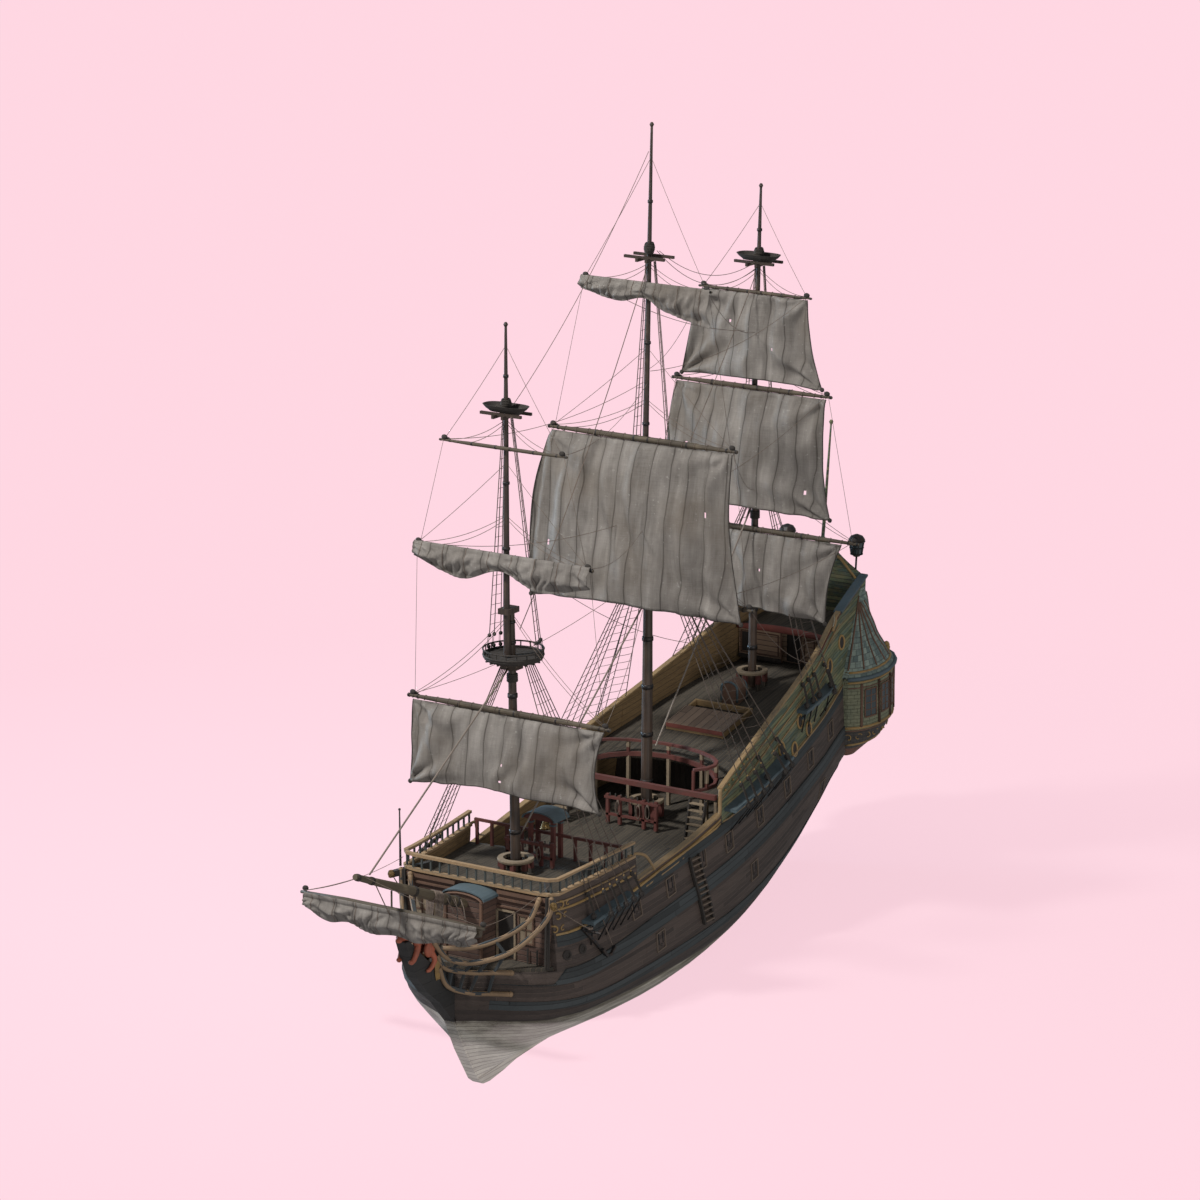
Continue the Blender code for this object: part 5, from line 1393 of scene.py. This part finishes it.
for k in range(13):
    turn = math.radians(-72 + 15 * k)
    centre, way = on_gallery(turn, 5.30)
    if centre is None or centre.x < 1.0:
        continue
    side = Vector((-way.y, way.x, BAY_TILT * way.x))
    flip = 1 if k % 2 else -1
    winding = curl(16, 0.6, 4.4, 0.17, 0.75)
    gallery_gold.tube([centre + way * 0.02 + side * (flip * across) + Z * up for across, up in winding],
                      0.024, 5)
for turn, z in ((62, 8.02), (64, 5.66)):
    place, way = on_gallery(math.radians(turn), z)
    if place is not None:
        gallery_gold.ball(place + way * 0.05, (0.13, 0.13, 0.17), 10, 6)
        for d in (-0.16, 0.16):
            aside = Vector((-way.y, way.x, 0)) * d
            gallery_gold.ball(place + aside + way * 0.02 - Z * 0.05, (0.09, 0.09, 0.10), 8, 5)
gallery_gold.mirror().make("gallery_carving", "gold", smooth=True)
gallery_blue.mirror().make("gallery_moulding", "blue", smooth=True)
gallery_brown.mirror().make("gallery_frames", "brown", smooth=True)
gallery_glass.mirror().make("gallery_windows", "glass")
gallery_rib.mirror().make("gallery_ribs", "brown", smooth=True)

# Stern: windows and mouldings on the flat of the stern
STERN = tree_of(["hull", "transom"])


def on_stern(x, z):
    """The stern's surface at a place."""
    hit = STERN.ray_cast(Vector((x, 20, z)), Vector((0, -1, 0)))
    return hit[0] if hit[0] is not None else Vector((x, 12.4, z))


stern_glass, stern_frames, stern_gold = Heap(), Heap(), Heap()
for low, high, count, reach in ((6.45, 7.45, 4, 1.25), (8.05, 8.95, 4, 1.10)):
    for k in range(count):
        x = -reach + (k + 0.5) * 2 * reach / count
        w = reach / count * 0.72
        corners = [on_stern(*corner) for corner in ((x - w, low), (x + w, low), (x + w, high), (x - w, high))]
        back = Y * 0.02
        stern_glass.rings([[p - back for p in corners], [p + back for p in corners]])
        stern_frames.frame([p + back for p in corners], 0.07, 0.06)
        stern_frames.beam(on_stern(x, low) + back, on_stern(x, high) + back, 0.03, 0.05, Y)
        for t in (0.33, 0.66):
            z = low + (high - low) * t
            stern_frames.beam(on_stern(x - w, z) + back, on_stern(x + w, z) + back, 0.03, 0.05, Y)
for z, reach in ((5.9, 1.95), (6.2, 1.95), (7.72, 1.9), (9.2, 1.85), (9.32, 1.85), (10.7, 1.8)):
    path = [on_stern(-reach + 2 * reach * k / 12, z) + Y * 0.02 for k in range(13)]
    stern_gold.tube(path, 0.05, 6)
for k in range(9):
    for side in (-1, 1):
        x = side * (0.18 + 0.19 * k)
        flip = side if k % 2 else -side
        winding = curl(16, 0.6, 4.6, 0.20, 0.8)
        stern_gold.tube([on_stern(x + flip * across, 10.05 + up) + Y * 0.015 for across, up in winding],
                        0.026, 5)
stern_glass.make("stern_windows", "glass")
stern_frames.make("stern_frames", "brown")
stern_gold.make("stern_mouldings", "gold", smooth=True)

# Head: smooth rails over the framed ones, the round-house roof, wall frames and catheads
HEAD_RAILS = (
    ((0.33, -14.30, 3.36), (0.50, -13.75, 2.68), (0.95, -13.30, 2.42), (1.60, -12.80, 2.50),
     (2.30, -12.25, 2.82), (2.90, -11.58, 3.50), (3.16, -11.24, 4.05), (3.20, -11.20, 4.56)),
    ((0.42, -13.85, 3.02), (1.15, -12.95, 2.94), (1.90, -12.15, 3.24), (2.50, -11.55, 3.78),
     (2.74, -11.28, 4.50)),
    ((0.288, -14.02, 2.80), (0.350, -13.62, 2.22), (0.92, -12.95, 1.97), (1.62, -12.40, 1.94),
     (2.12, -12.10, 1.93)),
    ((0.2868, -13.90, 2.30), (0.345, -13.45, 1.50), (0.80, -12.75, 1.14), (1.45, -12.36, 1.12),
     (2.06, -12.08, 1.13)),
)


def smooth_path(points, each=6):
    """More points on a smooth curve through the given ones."""
    rows = [[(k, p[axis]) for k, p in enumerate(points)] for axis in range(3)]
    last = (len(points) - 1) * each
    return [Vector([smooth_at(row, k / each) for row in rows]) for k in range(last + 1)]


head = Heap()
for rail in HEAD_RAILS:
    head.tube(smooth_path(rail), 0.092, 8)
    head.ball(rail[-1], (0.10, 0.10, 0.10), 10, 6)
head.mirror().make("head_rail_mouldings", "headrail", smooth=True)



def arch(half_wide, y, z, tall):
    """Points of a half round, from port to starboard."""
    return [Vector((half_wide * math.cos(math.pi * k / 12), y, z + tall * math.sin(math.pi * k / 12)))
            for k in range(13)]


def arched_roof(heap, half_wide, y0, y1, z, tall, thick=0.05):
    """A half round shell with closed ends."""
    shell = []
    for y, grow in ((y0, 0.0), (y0, thick), (y1, thick), (y1, 0.0)):
        shell += arch(half_wide + grow, y, z, tall + grow)
    faces = []
    for i in range(4):
        a, b = i * 13, ((i + 1) % 4) * 13
        faces += [(a + k, a + k + 1, b + k + 1, b + k) for k in range(12)]
    heap.add(shell, faces + [(0, 13, 26, 39), (51, 38, 25, 12)])


roof, beak_red, beak_pale, beak_dark = Heap(), Heap(), Heap(), Heap()
arched_roof(roof, 0.875, -12.02, -11.12, 4.275, 0.255)
roof.make("round_house_roof", "blue")
beak_red.tube(arch(0.80, -12.0, 4.20, 0.24), 0.045, 6)
for x in (-0.76, 0.76):
    beak_red.beam((x, -11.985, 2.10), (x, -11.985, 4.24), 0.09, 0.07, Y)
FACE_Y = -11.16
for z, tall, reach in ((4.47, 0.16, 3.00), (4.22, 0.07, 2.98), (3.95, 0.05, 2.95)):
    for a, b in ((-reach, -0.90), (0.90, reach)):
        beak_red.beam((a, FACE_Y, z), (b, FACE_Y, z), 0.09, tall)


def upright(x0, x1, z0, z1, y):
    """The corners of an upright rectangle across the ship."""
    return [Vector((x, y, z)) for x, z in ((x0, z0), (x1, z0), (x1, z1), (x0, z1))]


door_frame = upright(0.88, 1.63, 2.08, 3.80, FACE_Y)
for a, b in ((0, 3), (1, 2), (3, 2)):
    beak_pale.beam(door_frame[a], door_frame[b], 0.07, 0.05, Y)
for x0, x1, z0, z1 in ((1.80, 2.40, 2.75, 3.75), (-2.65, -2.00, 2.75, 3.75), (-1.85, -1.10, 2.4, 3.75)):
    beak_red.frame(upright(x0, x1, z0, z1, FACE_Y), 0.06, 0.05)
    x, z = (x0 + x1) / 2, (z0 + z1) / 2
    beak_red.beam((x, FACE_Y, z0), (x, FACE_Y, z1), 0.04, 0.04, Y)
    beak_red.beam((x0, FACE_Y, z), (x1, FACE_Y, z), 0.04, 0.04, Y)
    beak_pale.rings([upright(x0, x1, z0, z1, FACE_Y + d) for d in (0.012, 0.030)])
for side in (-1, 1):
    beak_dark.beam((side * 2.35, -10.2, 4.72), (side * 3.42, -11.40, 4.42), 0.20, 0.22)
    for k in range(2):
        beak_dark.beam((side * (2.95 + 0.10 * k), -11.20, 1.95), (side * (3.02 + 0.10 * k), -11.22, 4.60),
                       0.08, 0.08, Y)
    for x in (2.2, 2.6):
        beak_dark.beam((side * x, -11.205, 2.05), (side * x, -11.205, 2.60), 0.05, 0.05, Y)
beak_red.make("beak_wall_mouldings", "brown")
beak_pale.make("beak_wall_panels", "pale")
beak_dark.make("catheads", "dark")
faces_gold = Heap()
for side in (-1, 1):
    faces_gold.ball((side * 3.45, -11.44, 4.42), (0.15, 0.10, 0.15), 12, 6)
    for k in range(6):
        t = 2 * math.pi * k / 6
        faces_gold.ball((side * 3.47 + 0.10 * math.cos(t) * 0.4, -11.49, 4.42 + 0.11 * math.sin(t)),
                        (0.05, 0.04, 0.05), 8, 4)
for y, z in ((-10.95, 3.35), (-10.80, 3.80), (-10.65, 4.20)):
    scroll(faces_gold, y, z, 0.17, -1, 0.045)
    scroll(faces_gold, y + 0.32, z + 0.03, 0.12, 1, 0.035)
faces_gold.mirror().make("bow_carving", "gold", smooth=True)
hawse = Heap()
for y, z in ((-10.62, 2.42), (-9.95, 2.50)):
    place, out = on_side(y, z)
    side = Vector((-out.y, out.x, 0)).normalized()
    up = out.cross(side)
    hawse.tube(circle(place + out * 0.02, 0.14, 18, side, up), 0.045, 6, True)
    # The dark disc inside each rim is painted shade: it stands for the hole's inside, which is not cut open
    hawse.rings([circle(place + out * d, 0.12, 18, side, up) for d in (-0.02, 0.010)])
hawse.mirror().make("hawse_holes", "dark", slot="black_iron")

# Jackstaff, bowsprit bands and the ropes wound round the bowsprit
staff, sprit_ropes, sprit_bands = Heap(), Heap(), Heap()
staff.tube([(-3.22, -11.20, 4.70), (-3.24, -11.20, 6.75)], [0.045, 0.026], 8)
staff.ball((-3.24, -11.20, 6.78), (0.05, 0.05, 0.05), 8, 4)
staff.make("jackstaff", "dark", smooth=True)
BOWSPRIT = ((-11.95, 4.07, 0.19), (-14.0, 4.925, 0.17), (-16.2, 5.843, 0.14), (-18.40, 6.76, 0.10))
SPRIT_UP = Vector((0, 0.9, 2.2)).normalized()


def sprit_at(y):
    """Height and radius of the bowsprit."""
    return [smooth_at([(-row[0], row[part]) for row in BOWSPRIT], -y) for part in (1, 2)]


def sprit_ring(heap, y, thick, extra):
    """One turn round the bowsprit."""
    z, r = sprit_at(y)
    heap.tube(circle((0, y, z), r + extra, 16, X, SPRIT_UP), thick, 5, True)


for y in (-12.4, -13.0, -14.9, -17.4, -18.2):
    for d in (0.0, 0.05, 0.10):
        sprit_ring(sprit_bands, y - d, 0.022, 0.008)
for k in range(6):
    y = -13.45 - 0.09 * k
    z, r = sprit_at(y)
    sprit_ring(sprit_ropes, y, 0.028, 0.02)
    for side in (-1, 1):
        low = Vector((side * 0.13, -13.75 - 0.05 * k, 2.55))
        middle = low.lerp(Vector((side * r, y, z)), 0.5) + X * (side * 0.05)
        sprit_ropes.tube([(side * (r + 0.02), y, z), middle, low], 0.022, 5)
for x, y0 in ((0.25, -13.2), (0.32, -12.9), (-0.28, -13.1)):
    z, r = sprit_at(y0)
    sprit_ropes.tube([(x * 0.6, y0, z + 0.05), (x * 1.4, y0 + 0.1, z - 0.45),
                      (x * 1.8, y0 + 0.25, z - 0.75), (x * 1.2, y0 + 0.4, z - 0.35),
                      (x * 0.6, y0 + 0.5, z - 0.10)], 0.020, 5)
sprit_bands.make("bowsprit_bands", "tarred", slot="spar_timber", smooth=True)
sprit_ropes.make("bowsprit_gammoning", "rope", slot="spar_timber", smooth=True)

# Spritsail: gathered cloth under its yard, hung in bights, with its lifts and blocks
SPRIT_Y, SPRIT_Z, SPRIT_HALF, SPRIT_WIDE = -16.28, 5.00, 3.85, 3.62
SPRIT_EDGE = ((-1.0, 0.36), (-0.72, 0.72), (-0.5, 0.60), (-0.22, 0.84), (0.05, 0.74), (0.3, 0.84),
              (0.62, 0.62), (0.85, 0.62), (1.0, 0.34))
furled_cloth("spritsail", -SPRIT_WIDE, SPRIT_WIDE, SPRIT_Y, SPRIT_Z, 0.145,
             lambda x: smooth_at(SPRIT_EDGE, x / SPRIT_WIDE) - 0.06, 21.0, "spritsail_yard", 44.0)
back_bars = Heap()
back_bars.tube([(-3.84, SPRIT_Y, SPRIT_Z), (-1.9, SPRIT_Y, SPRIT_Z), (1.9, SPRIT_Y, SPRIT_Z),
                (3.84, SPRIT_Y, SPRIT_Z)],
               [0.056, 0.118, 0.118, 0.056], 12)
back_bars.make("spritsail_yard_surface", "yard", "spritsail_yard", True)
sprit_blocks = Heap()
for side in (-1, 1):
    arm = Vector((side * (SPRIT_HALF - 0.12), SPRIT_Y, SPRIT_Z + 0.06))
    label = "port" if side > 0 else "starboard"
    for kind, end, sag, count in (("lift", (0.10, -17.9, 6.62), 0.05, 12),
                                  ("brace", (3.10, -11.20, 5.05), 0.22, 16)):
        line = Heap()
        end = Vector((side * end[0], end[1], end[2]))
        line.tube(hang(arm, end, sag, count), 0.011, 4)
        made = line.make("spritsail_%s_%s" % (kind, label), "rope", None, True)
        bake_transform(made)
    sprit_blocks.ball(arm + Vector((0, 0.10, 0.06)), (0.12, 0.10, 0.10))
sprit_blocks.make("spritsail_blocks", "dark", "spritsail_yard", True)

# Figurehead: a maned beast of no known kind, its paws on the knee's cheeks
# Limbs: the shoulder or haunch and its half sizes, the leg down to the paw and its radii
LIMBS = (
    ((0.20, -15.05, 3.62), (0.15, 0.24, 0.30),
     ((0.20, -15.0, 3.60), (0.30, -15.25, 3.25), (0.27, -15.45, 2.95), (0.24, -15.62, 2.98)),
     (0.13, 0.13, 0.12, 0.12, 0.12, 0.11, 0.11, 0.10, 0.10, 0.10, 0.09, 0.09, 0.09, 0.08, 0.07, 0.05)),
    ((0.21, -14.35, 3.10), (0.14, 0.30, 0.30),
     ((0.22, -14.35, 3.05), (0.32, -14.20, 2.70), (0.30, -14.42, 2.42), (0.26, -14.62, 2.36)),
     (0.12, 0.12, 0.12, 0.11, 0.11, 0.10, 0.10, 0.09, 0.09, 0.09, 0.08, 0.08, 0.08, 0.07, 0.06, 0.04)),
)
beast = Heap()
for side in (-1, 1):
    for centre, size, leg, sizes in LIMBS:
        beast.ball((side * centre[0], centre[1], centre[2]), size, 12, 8)
        beast.tube(smooth_path([(side * x, y, z) for x, y, z in leg], 5), sizes, 8)
    for k in range(9):
        t = k / 8
        y, z = -15.35 + 0.95 * t, 4.05 - 0.45 * t
        lock = ((0.10 + 0.03 * math.sin(k), y, z), (0.24, y + 0.05, z - 0.10),
                (0.30 - 0.02 * (k % 2), y + 0.02, z - 0.26), (0.26, y - 0.05, z - 0.36))
        beast.tube([(side * across, at, up) for across, at, up in lock], [0.05, 0.055, 0.045, 0.02], 6)
    beast.ball((side * 0.09, -15.86, 3.98), (0.05, 0.05, 0.05), 8, 4)
    beast.ball((side * 0.17, -15.52, 4.20), (0.05, 0.07, 0.09), 8, 5)
beast.ball((0, -15.62, 3.92), (0.20, 0.24, 0.22), 14, 8)
beast.ball((0, -15.86, 3.80), (0.12, 0.14, 0.11), 12, 6)
beast.make("figurehead_carving", "beast", smooth=True)
TASSEL_SIZES = (0.035, 0.035, 0.035, 0.034, 0.034, 0.033, 0.032, 0.03, 0.028, 0.026, 0.024, 0.02, 0.015)
tassel = Heap()
for side in (-1, 1):
    for k in range(4):
        y = -14.20 + 0.07 * k
        strand = ((0.25, y, 2.75), (0.30, y + 0.06, 2.45), (0.27, y + 0.13, 2.10 - 0.05 * k),
                  (0.24, y + 0.22, 1.85))
        tassel.tube(smooth_path([(side * across, at, up) for across, at, up in strand], 4), TASSEL_SIZES, 6)
tassel.make("knee_tassels", "gold", smooth=True)

# Belfry roof, the break's posts, its ladders and the pin rails
top = Heap()
arched_roof(top, 0.665, -7.24, -6.25, 5.885, 0.262)
for x in (-0.48, 0.48):
    for y in (-6.98, -6.51):
        top.beam((x - 0.10, y, 5.72), (x + 0.10, y, 5.72), 0.20, 0.05)
top.make("belfry_roof", "blue")
DECK = tree_of(["main_deck"])
posts, steep, treads = Heap(), Heap(), Heap()
for i in (1, 3, 5, 7, 9, 11, 13):
    turn = math.pi * (1.17 - 1.34 * i / 14)
    x = (2.95 - 0.10) * math.cos(turn) * 0.997
    y = 0.05 + (1.55 - 0.10) * math.sin(turn) + 0.004
    hit = DECK.ray_cast(Vector((x, y, 5.3)), Vector((0, 0, -1)))
    low = hit[0].z + 0.002 if hit[0] is not None else 4.1
    mid = 5.55 + 0.22 * (y + 0.8)
    posts.beam((x, y, low), (x, y, mid), 0.118, 0.118, Y)
    posts.beam((x, y, mid + 0.32), (x, y, 6.49 + 0.03 * y), 0.118, 0.118, Y)
posts.make("break_posts", "pale")
for side in (-1, 1):
    for x in (2.58, 3.24):
        steep.beam((side * x, -1.46, 4.06), (side * x, -1.10, 5.56), 0.06, 0.15, Y)
    for k in range(6):
        t = (k + 0.5) / 6
        y, z = -1.46 + 0.36 * t, 4.06 + 1.50 * t
        treads.beam((side * 2.58, y, z), (side * 3.24, y, z), 0.16, 0.045)
steep.make("break_ladder_strings", "dark")
treads.make("break_ladder_treads", "pale")
pins, pin_rail = Heap(), Heap()
for y, half_wide, base, tall in ((-1.02, 1.05, 4.10, 0.95), (-7.75, 0.95, 4.45, 0.75)):
    pin_rail.beam((-half_wide - 0.12, y, base + tall), (half_wide + 0.12, y, base + tall), 0.16, 0.09)
    pin_rail.beam((-half_wide - 0.05, y, base + 0.30), (half_wide + 0.05, y, base + 0.30), 0.12, 0.08)
    for x in (-half_wide, -half_wide / 2, half_wide / 2, half_wide):
        pin_rail.beam((x, y, base - 0.04), (x, y, base + tall + 0.12), 0.12, 0.12, Y)
    for k in range(9):
        x = -half_wide + 0.10 + (half_wide * 2 - 0.20) * k / 8
        pins.tube([(x, y, base + tall - 0.20), (x, y, base + tall + 0.17)], [0.018, 0.026], 6)
pin_rail.make("pin_rails", "red")
pins.make("belaying_pins", "dark", smooth=True)

# Rings of bitts round the masts: a pale cap over red posts
ring_caps, ring_posts = Heap(), Heap()
# Radius, height and number of posts
BITTS = {"fore": (0.62, 0.52, 8), "main": (0.62, 0.82, 6), "mizzen": (0.56, 0.62, 6)}
for name, (radius, height, count) in BITTS.items():
    ring_y, deck_z = MASTS[name][:2]
    top_z = deck_z + height
    inner = radius - 0.165
    outer = radius + 0.03
    profile = ((inner, -0.10), (outer, -0.10), (outer + 0.02, -0.03), (outer, 0.02), (inner, 0.02))
    rings = []
    for t in angles(28):
        rings.append([Vector((r * math.cos(t), ring_y + r * math.sin(t), top_z + up)) for r, up in profile])
    ring_caps.rings(rings, True)
    for k in range(count):
        t = 2 * math.pi * (k + 0.5) / count
        x, y = (radius - 0.07) * math.cos(t), ring_y + (radius - 0.07) * math.sin(t)
        ring_posts.beam((x, y, deck_z + 0.16), (x, y, top_z - 0.08), 0.155, 0.155, Y)
ring_caps.make("bitt_caps", "pale")
ring_posts.make("bitt_posts", "red")
scrolls = Heap()
scrolls.tube(smooth_path(((3.44, -6.62, 4.97), (3.52, -6.20, 4.98), (3.66, -5.85, 4.84),
                          (3.76, -5.62, 4.52), (3.80, -5.45, 4.24)), 5), 0.055, 8)
scrolls.tube(smooth_path(((3.74, -1.25, 5.02), (3.76, -0.98, 5.20), (3.70, -0.86, 5.60),
                          (3.68, -0.80, 6.04)), 5), 0.075, 8)
scrolls.tube(smooth_path(((2.40, 9.35, 9.55), (2.36, 9.60, 9.80), (2.32, 9.72, 10.10)), 4), 0.06, 8)
scrolls.mirror().make("rail_scrolls", "tan", smooth=True)

# Rope coils on the pin rails and along the waist
coils = Heap()
for x, y, z in ((-0.55, -1.13, 4.78), (0.35, -1.13, 4.75), (0.75, -1.13, 4.80), (-0.35, -7.86, 4.95),
                (0.45, -7.86, 4.92)):
    for k in range(4):
        tall = 0.30 - 0.02 * k
        wide = 0.07 + 0.008 * k
        coils.tube(circle((x, y - 0.012 * k, z - 0.05), 1.0, 14, X * wide, Z * tall), 0.013, 4, True)
coils.make("rope_coils", "rope", smooth=True)

# Poop: the red roll under the deck's edge, the wall's frames, hood rim and hatch edge
roll = Heap()
roll.tube([(-2.02 + 4.04 * k / 16, 9.70, 9.06 + 0.10 * (1 - (k / 8 - 1) ** 2)) for k in range(17)],
          [0.10 + 0.04 * (1 - (k / 8 - 1) ** 2) for k in range(17)], 12)
roll.make("poop_roll", "roll", smooth=True)
wall_boards, wall, sill_heap = Heap(), Heap(), Heap()
for a, b in ((-2.02, -0.12), (0.76, 2.02)):
    wall_boards.rings([upright(a, b, 7.80, 9.0, y) for y in (9.80, 9.84)])
    sill_heap.beam((a, 9.79, 7.88), (b, 9.79, 7.88), 0.06, 0.16)
for x0, x1 in ((-1.92, -1.42), (-1.30, -0.26), (0.90, 1.34), (1.46, 1.92)):
    wall.frame(upright(x0, x1, 8.04, 8.88, 9.79), 0.05, 0.035)
for x0, x1 in ((-1.88, -1.46), (1.50, 1.88)):
    sill_heap.rings([upright(x0, x1, 8.08, 8.84, y) for y in (9.785, 9.795)])
for x in (-0.13, 0.77):
    wall.beam((x, 9.80, 7.84), (x, 9.80, 8.98), 0.06, 0.06, Y)
wall_boards.make("poop_wall_boards", "poop_wall")
wall.make("poop_wall_frames", "brown")
sill_heap.make("poop_sill", "dark")
hood = Heap()
for y in (5.79, 6.46):
    hood.tube([(0.35, y, 7.25)] + arch(0.35, y, 7.72, 0.28) + [(-0.35, y, 7.25)], 0.045, 6)
hood.make("hood_rims", "blue", smooth=True)
lip = Heap()
lip.beam((-1.24, 3.283, 6.755), (1.24, 3.283, 6.755), 0.012, 0.15)
lip.make("hatch_front_board", "roll", "hatch_cover")
taffrail = Heap()
taffrail.tube([(-1.72, 12.22, 10.9), (-1.0, 12.26, 11.6), (0, 12.28, 12.1), (1.0, 12.26, 11.6),
               (1.72, 12.22, 10.9)], 0.05, 6)
taffrail.make("taffrail_moulding", "gold", smooth=True)

# Anchor lashings, from the ring to the cathead and the rail
lash = Heap()
for side in (-1, 1):
    lash.tube(hang((side * 3.98, -9.95, 3.28), (side * 3.46, -11.36, 4.34), 0.03, 8), 0.020, 5)
    lash.tube(hang((side * 4.05, -8.60, 2.35), (side * 3.42, -9.20, 4.80), 0.02, 8), 0.016, 5)
    for k in range(3):
        z = 3.28 + 0.02 * k
        lash.tube(circle((side * 3.98, -9.93, z), 0.09, 10), 0.014, 4, True)
lash.make("anchor_lashings", "rope", slot="black_iron", smooth=True)

# Lanterns: panes between iron ribs
lamp_glass, lamp_ribs = Heap(), Heap()
for node in ("stern_lantern_port", "stern_lantern_starboard"):
    low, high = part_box(node)
    cx, cy = (low[0] + high[0]) / 2, (low[1] + high[1]) / 2
    z0, z1 = low[2] + 0.60, low[2] + 1.10
    for a, b in zip(circle((cx, cy, z0), 0.225, 8), circle((cx, cy, z1), 0.300, 8)):
        lamp_ribs.tube([a, b], 0.018, 5)
    for z, r in ((z0, 0.235), ((z0 + z1) / 2, 0.27), (z1, 0.32)):
        lamp_ribs.tube(circle((cx, cy, z), r, 24), 0.020, 5, True)
    lamp_glass.lathe((cx, cy, 0), ((0.215, z0 + 0.01), (0.290, z1 - 0.01)), 12)
    lamp_ribs.lathe((cx, cy, z1), ((0.32, 0.03), (0.30, 0.09), (0.20, 0.18), (0.07, 0.24), (0.05, 0.25)), 20)
lamp_ribs.make("lantern_ribs", "iron", smooth=True)
lamp_glass.make("lantern_panes", "glass")

# Camera, light and floor
scene = bpy.context.scene
camera_data = bpy.data.cameras.new("camera")
camera_data.lens = LENS
camera_data.sensor_width = SENSOR
camera_data.clip_end = 2000
camera = bpy.data.objects.new("camera", camera_data)
bpy.context.collection.objects.link(camera)
view = Vector((math.sin(AZIMUTH) * math.cos(ELEVATION), -math.cos(AZIMUTH) * math.cos(ELEVATION),
               math.sin(ELEVATION)))
camera.location = AIM + view * DISTANCE
camera.rotation_euler = (-view).to_track_quat("-Z", "Y").to_euler()
scene.camera = camera

# The sky lights the ship, and the camera sees the photograph's plain backdrop instead
SKY_STRENGTH = 0.37
BACKDROP = (1.0, 0.680, 0.765, 1)
world = bpy.data.worlds.new("studio")
scene.world = world
world.use_nodes = True
tree = world.node_tree
back = tree.nodes["Background"]
back.inputs[0].default_value = (0.93, 0.94, 0.97, 1)
back.inputs[1].default_value = SKY_STRENGTH
seen = tree.nodes.new("ShaderNodeBackground")
seen.inputs[0].default_value = BACKDROP
seen.inputs[1].default_value = 1.0
path_node = tree.nodes.new("ShaderNodeLightPath")
choice = tree.nodes.new("ShaderNodeMixShader")
tree.links.new(path_node.outputs["Is Camera Ray"], choice.inputs[0])
tree.links.new(back.outputs[0], choice.inputs[1])
tree.links.new(seen.outputs[0], choice.inputs[2])
tree.links.new(choice.outputs[0], tree.nodes["World Output"].inputs[0])


def lamp(name, place, aim, size, power, colour):
    """A round area lamp turned to a point."""
    data = bpy.data.lights.new(name, "AREA")
    data.shape = "DISK"
    data.size = size
    data.energy = power
    data.color = colour
    made = bpy.data.objects.new(name, data)
    bpy.context.collection.objects.link(made)
    made.location = place
    made.rotation_euler = (Vector(aim) - Vector(place)).to_track_quat("-Z", "Y").to_euler()


# Lamps: name, place, aim, width in metres, watts, colour
for row in (
    ("key", (-36, -62, 92), (0, 0, 8), 12, 132000, (1.0, 0.975, 0.94)),
    ("rim", (-88, 4, 20), (0, 0, 12), 18, 60000, (0.50, 0.75, 1.0)),
    ("side", (78, -48, 16), (0, 0, 6), 30, 22000, (1.0, 0.95, 0.90)),
):
    lamp(*row)

# The floor at the waterline, see-through so that the bottom shows, and gone at its edge
floor_shade = bpy.data.materials.new("pale_floor")
floor_shade.use_nodes = True
tree = floor_shade.node_tree
tree.nodes.clear()
out = tree.nodes.new("ShaderNodeOutputMaterial")
clear = tree.nodes.new("ShaderNodeBsdfTransparent")
matt = tree.nodes.new("ShaderNodeBsdfDiffuse")
matt.inputs[0].default_value = (0.95, 0.80, 0.84, 1)
blend_node = tree.nodes.new("ShaderNodeMixShader")
places = tree.nodes.new("ShaderNodeTexCoord")
length = tree.nodes.new("ShaderNodeVectorMath")
length.operation = "LENGTH"
fade = tree.nodes.new("ShaderNodeMapRange")
for k, value in ((1, 12.0), (2, 44.0), (3, 0.12), (4, 0.0)):
    fade.inputs[k].default_value = value
tree.links.new(places.outputs["Object"], length.inputs[0])
tree.links.new(length.outputs["Value"], fade.inputs[0])
tree.links.new(fade.outputs[0], blend_node.inputs[0])
tree.links.new(clear.outputs[0], blend_node.inputs[1])
tree.links.new(matt.outputs[0], blend_node.inputs[2])
tree.links.new(blend_node.outputs[0], out.inputs["Surface"])
sheet_mesh = bpy.data.meshes.new("waterline_floor")
REACH = 46.0
sheet_mesh.from_pydata(circle((0, 0, 0), REACH, 96), [], [tuple(range(96))])
floor = bpy.data.objects.new("waterline_floor", sheet_mesh)
bpy.context.collection.objects.link(floor)
sheet_mesh.materials.append(floor_shade)

scene.view_settings.view_transform = "Standard"
scene.view_settings.look = "None"
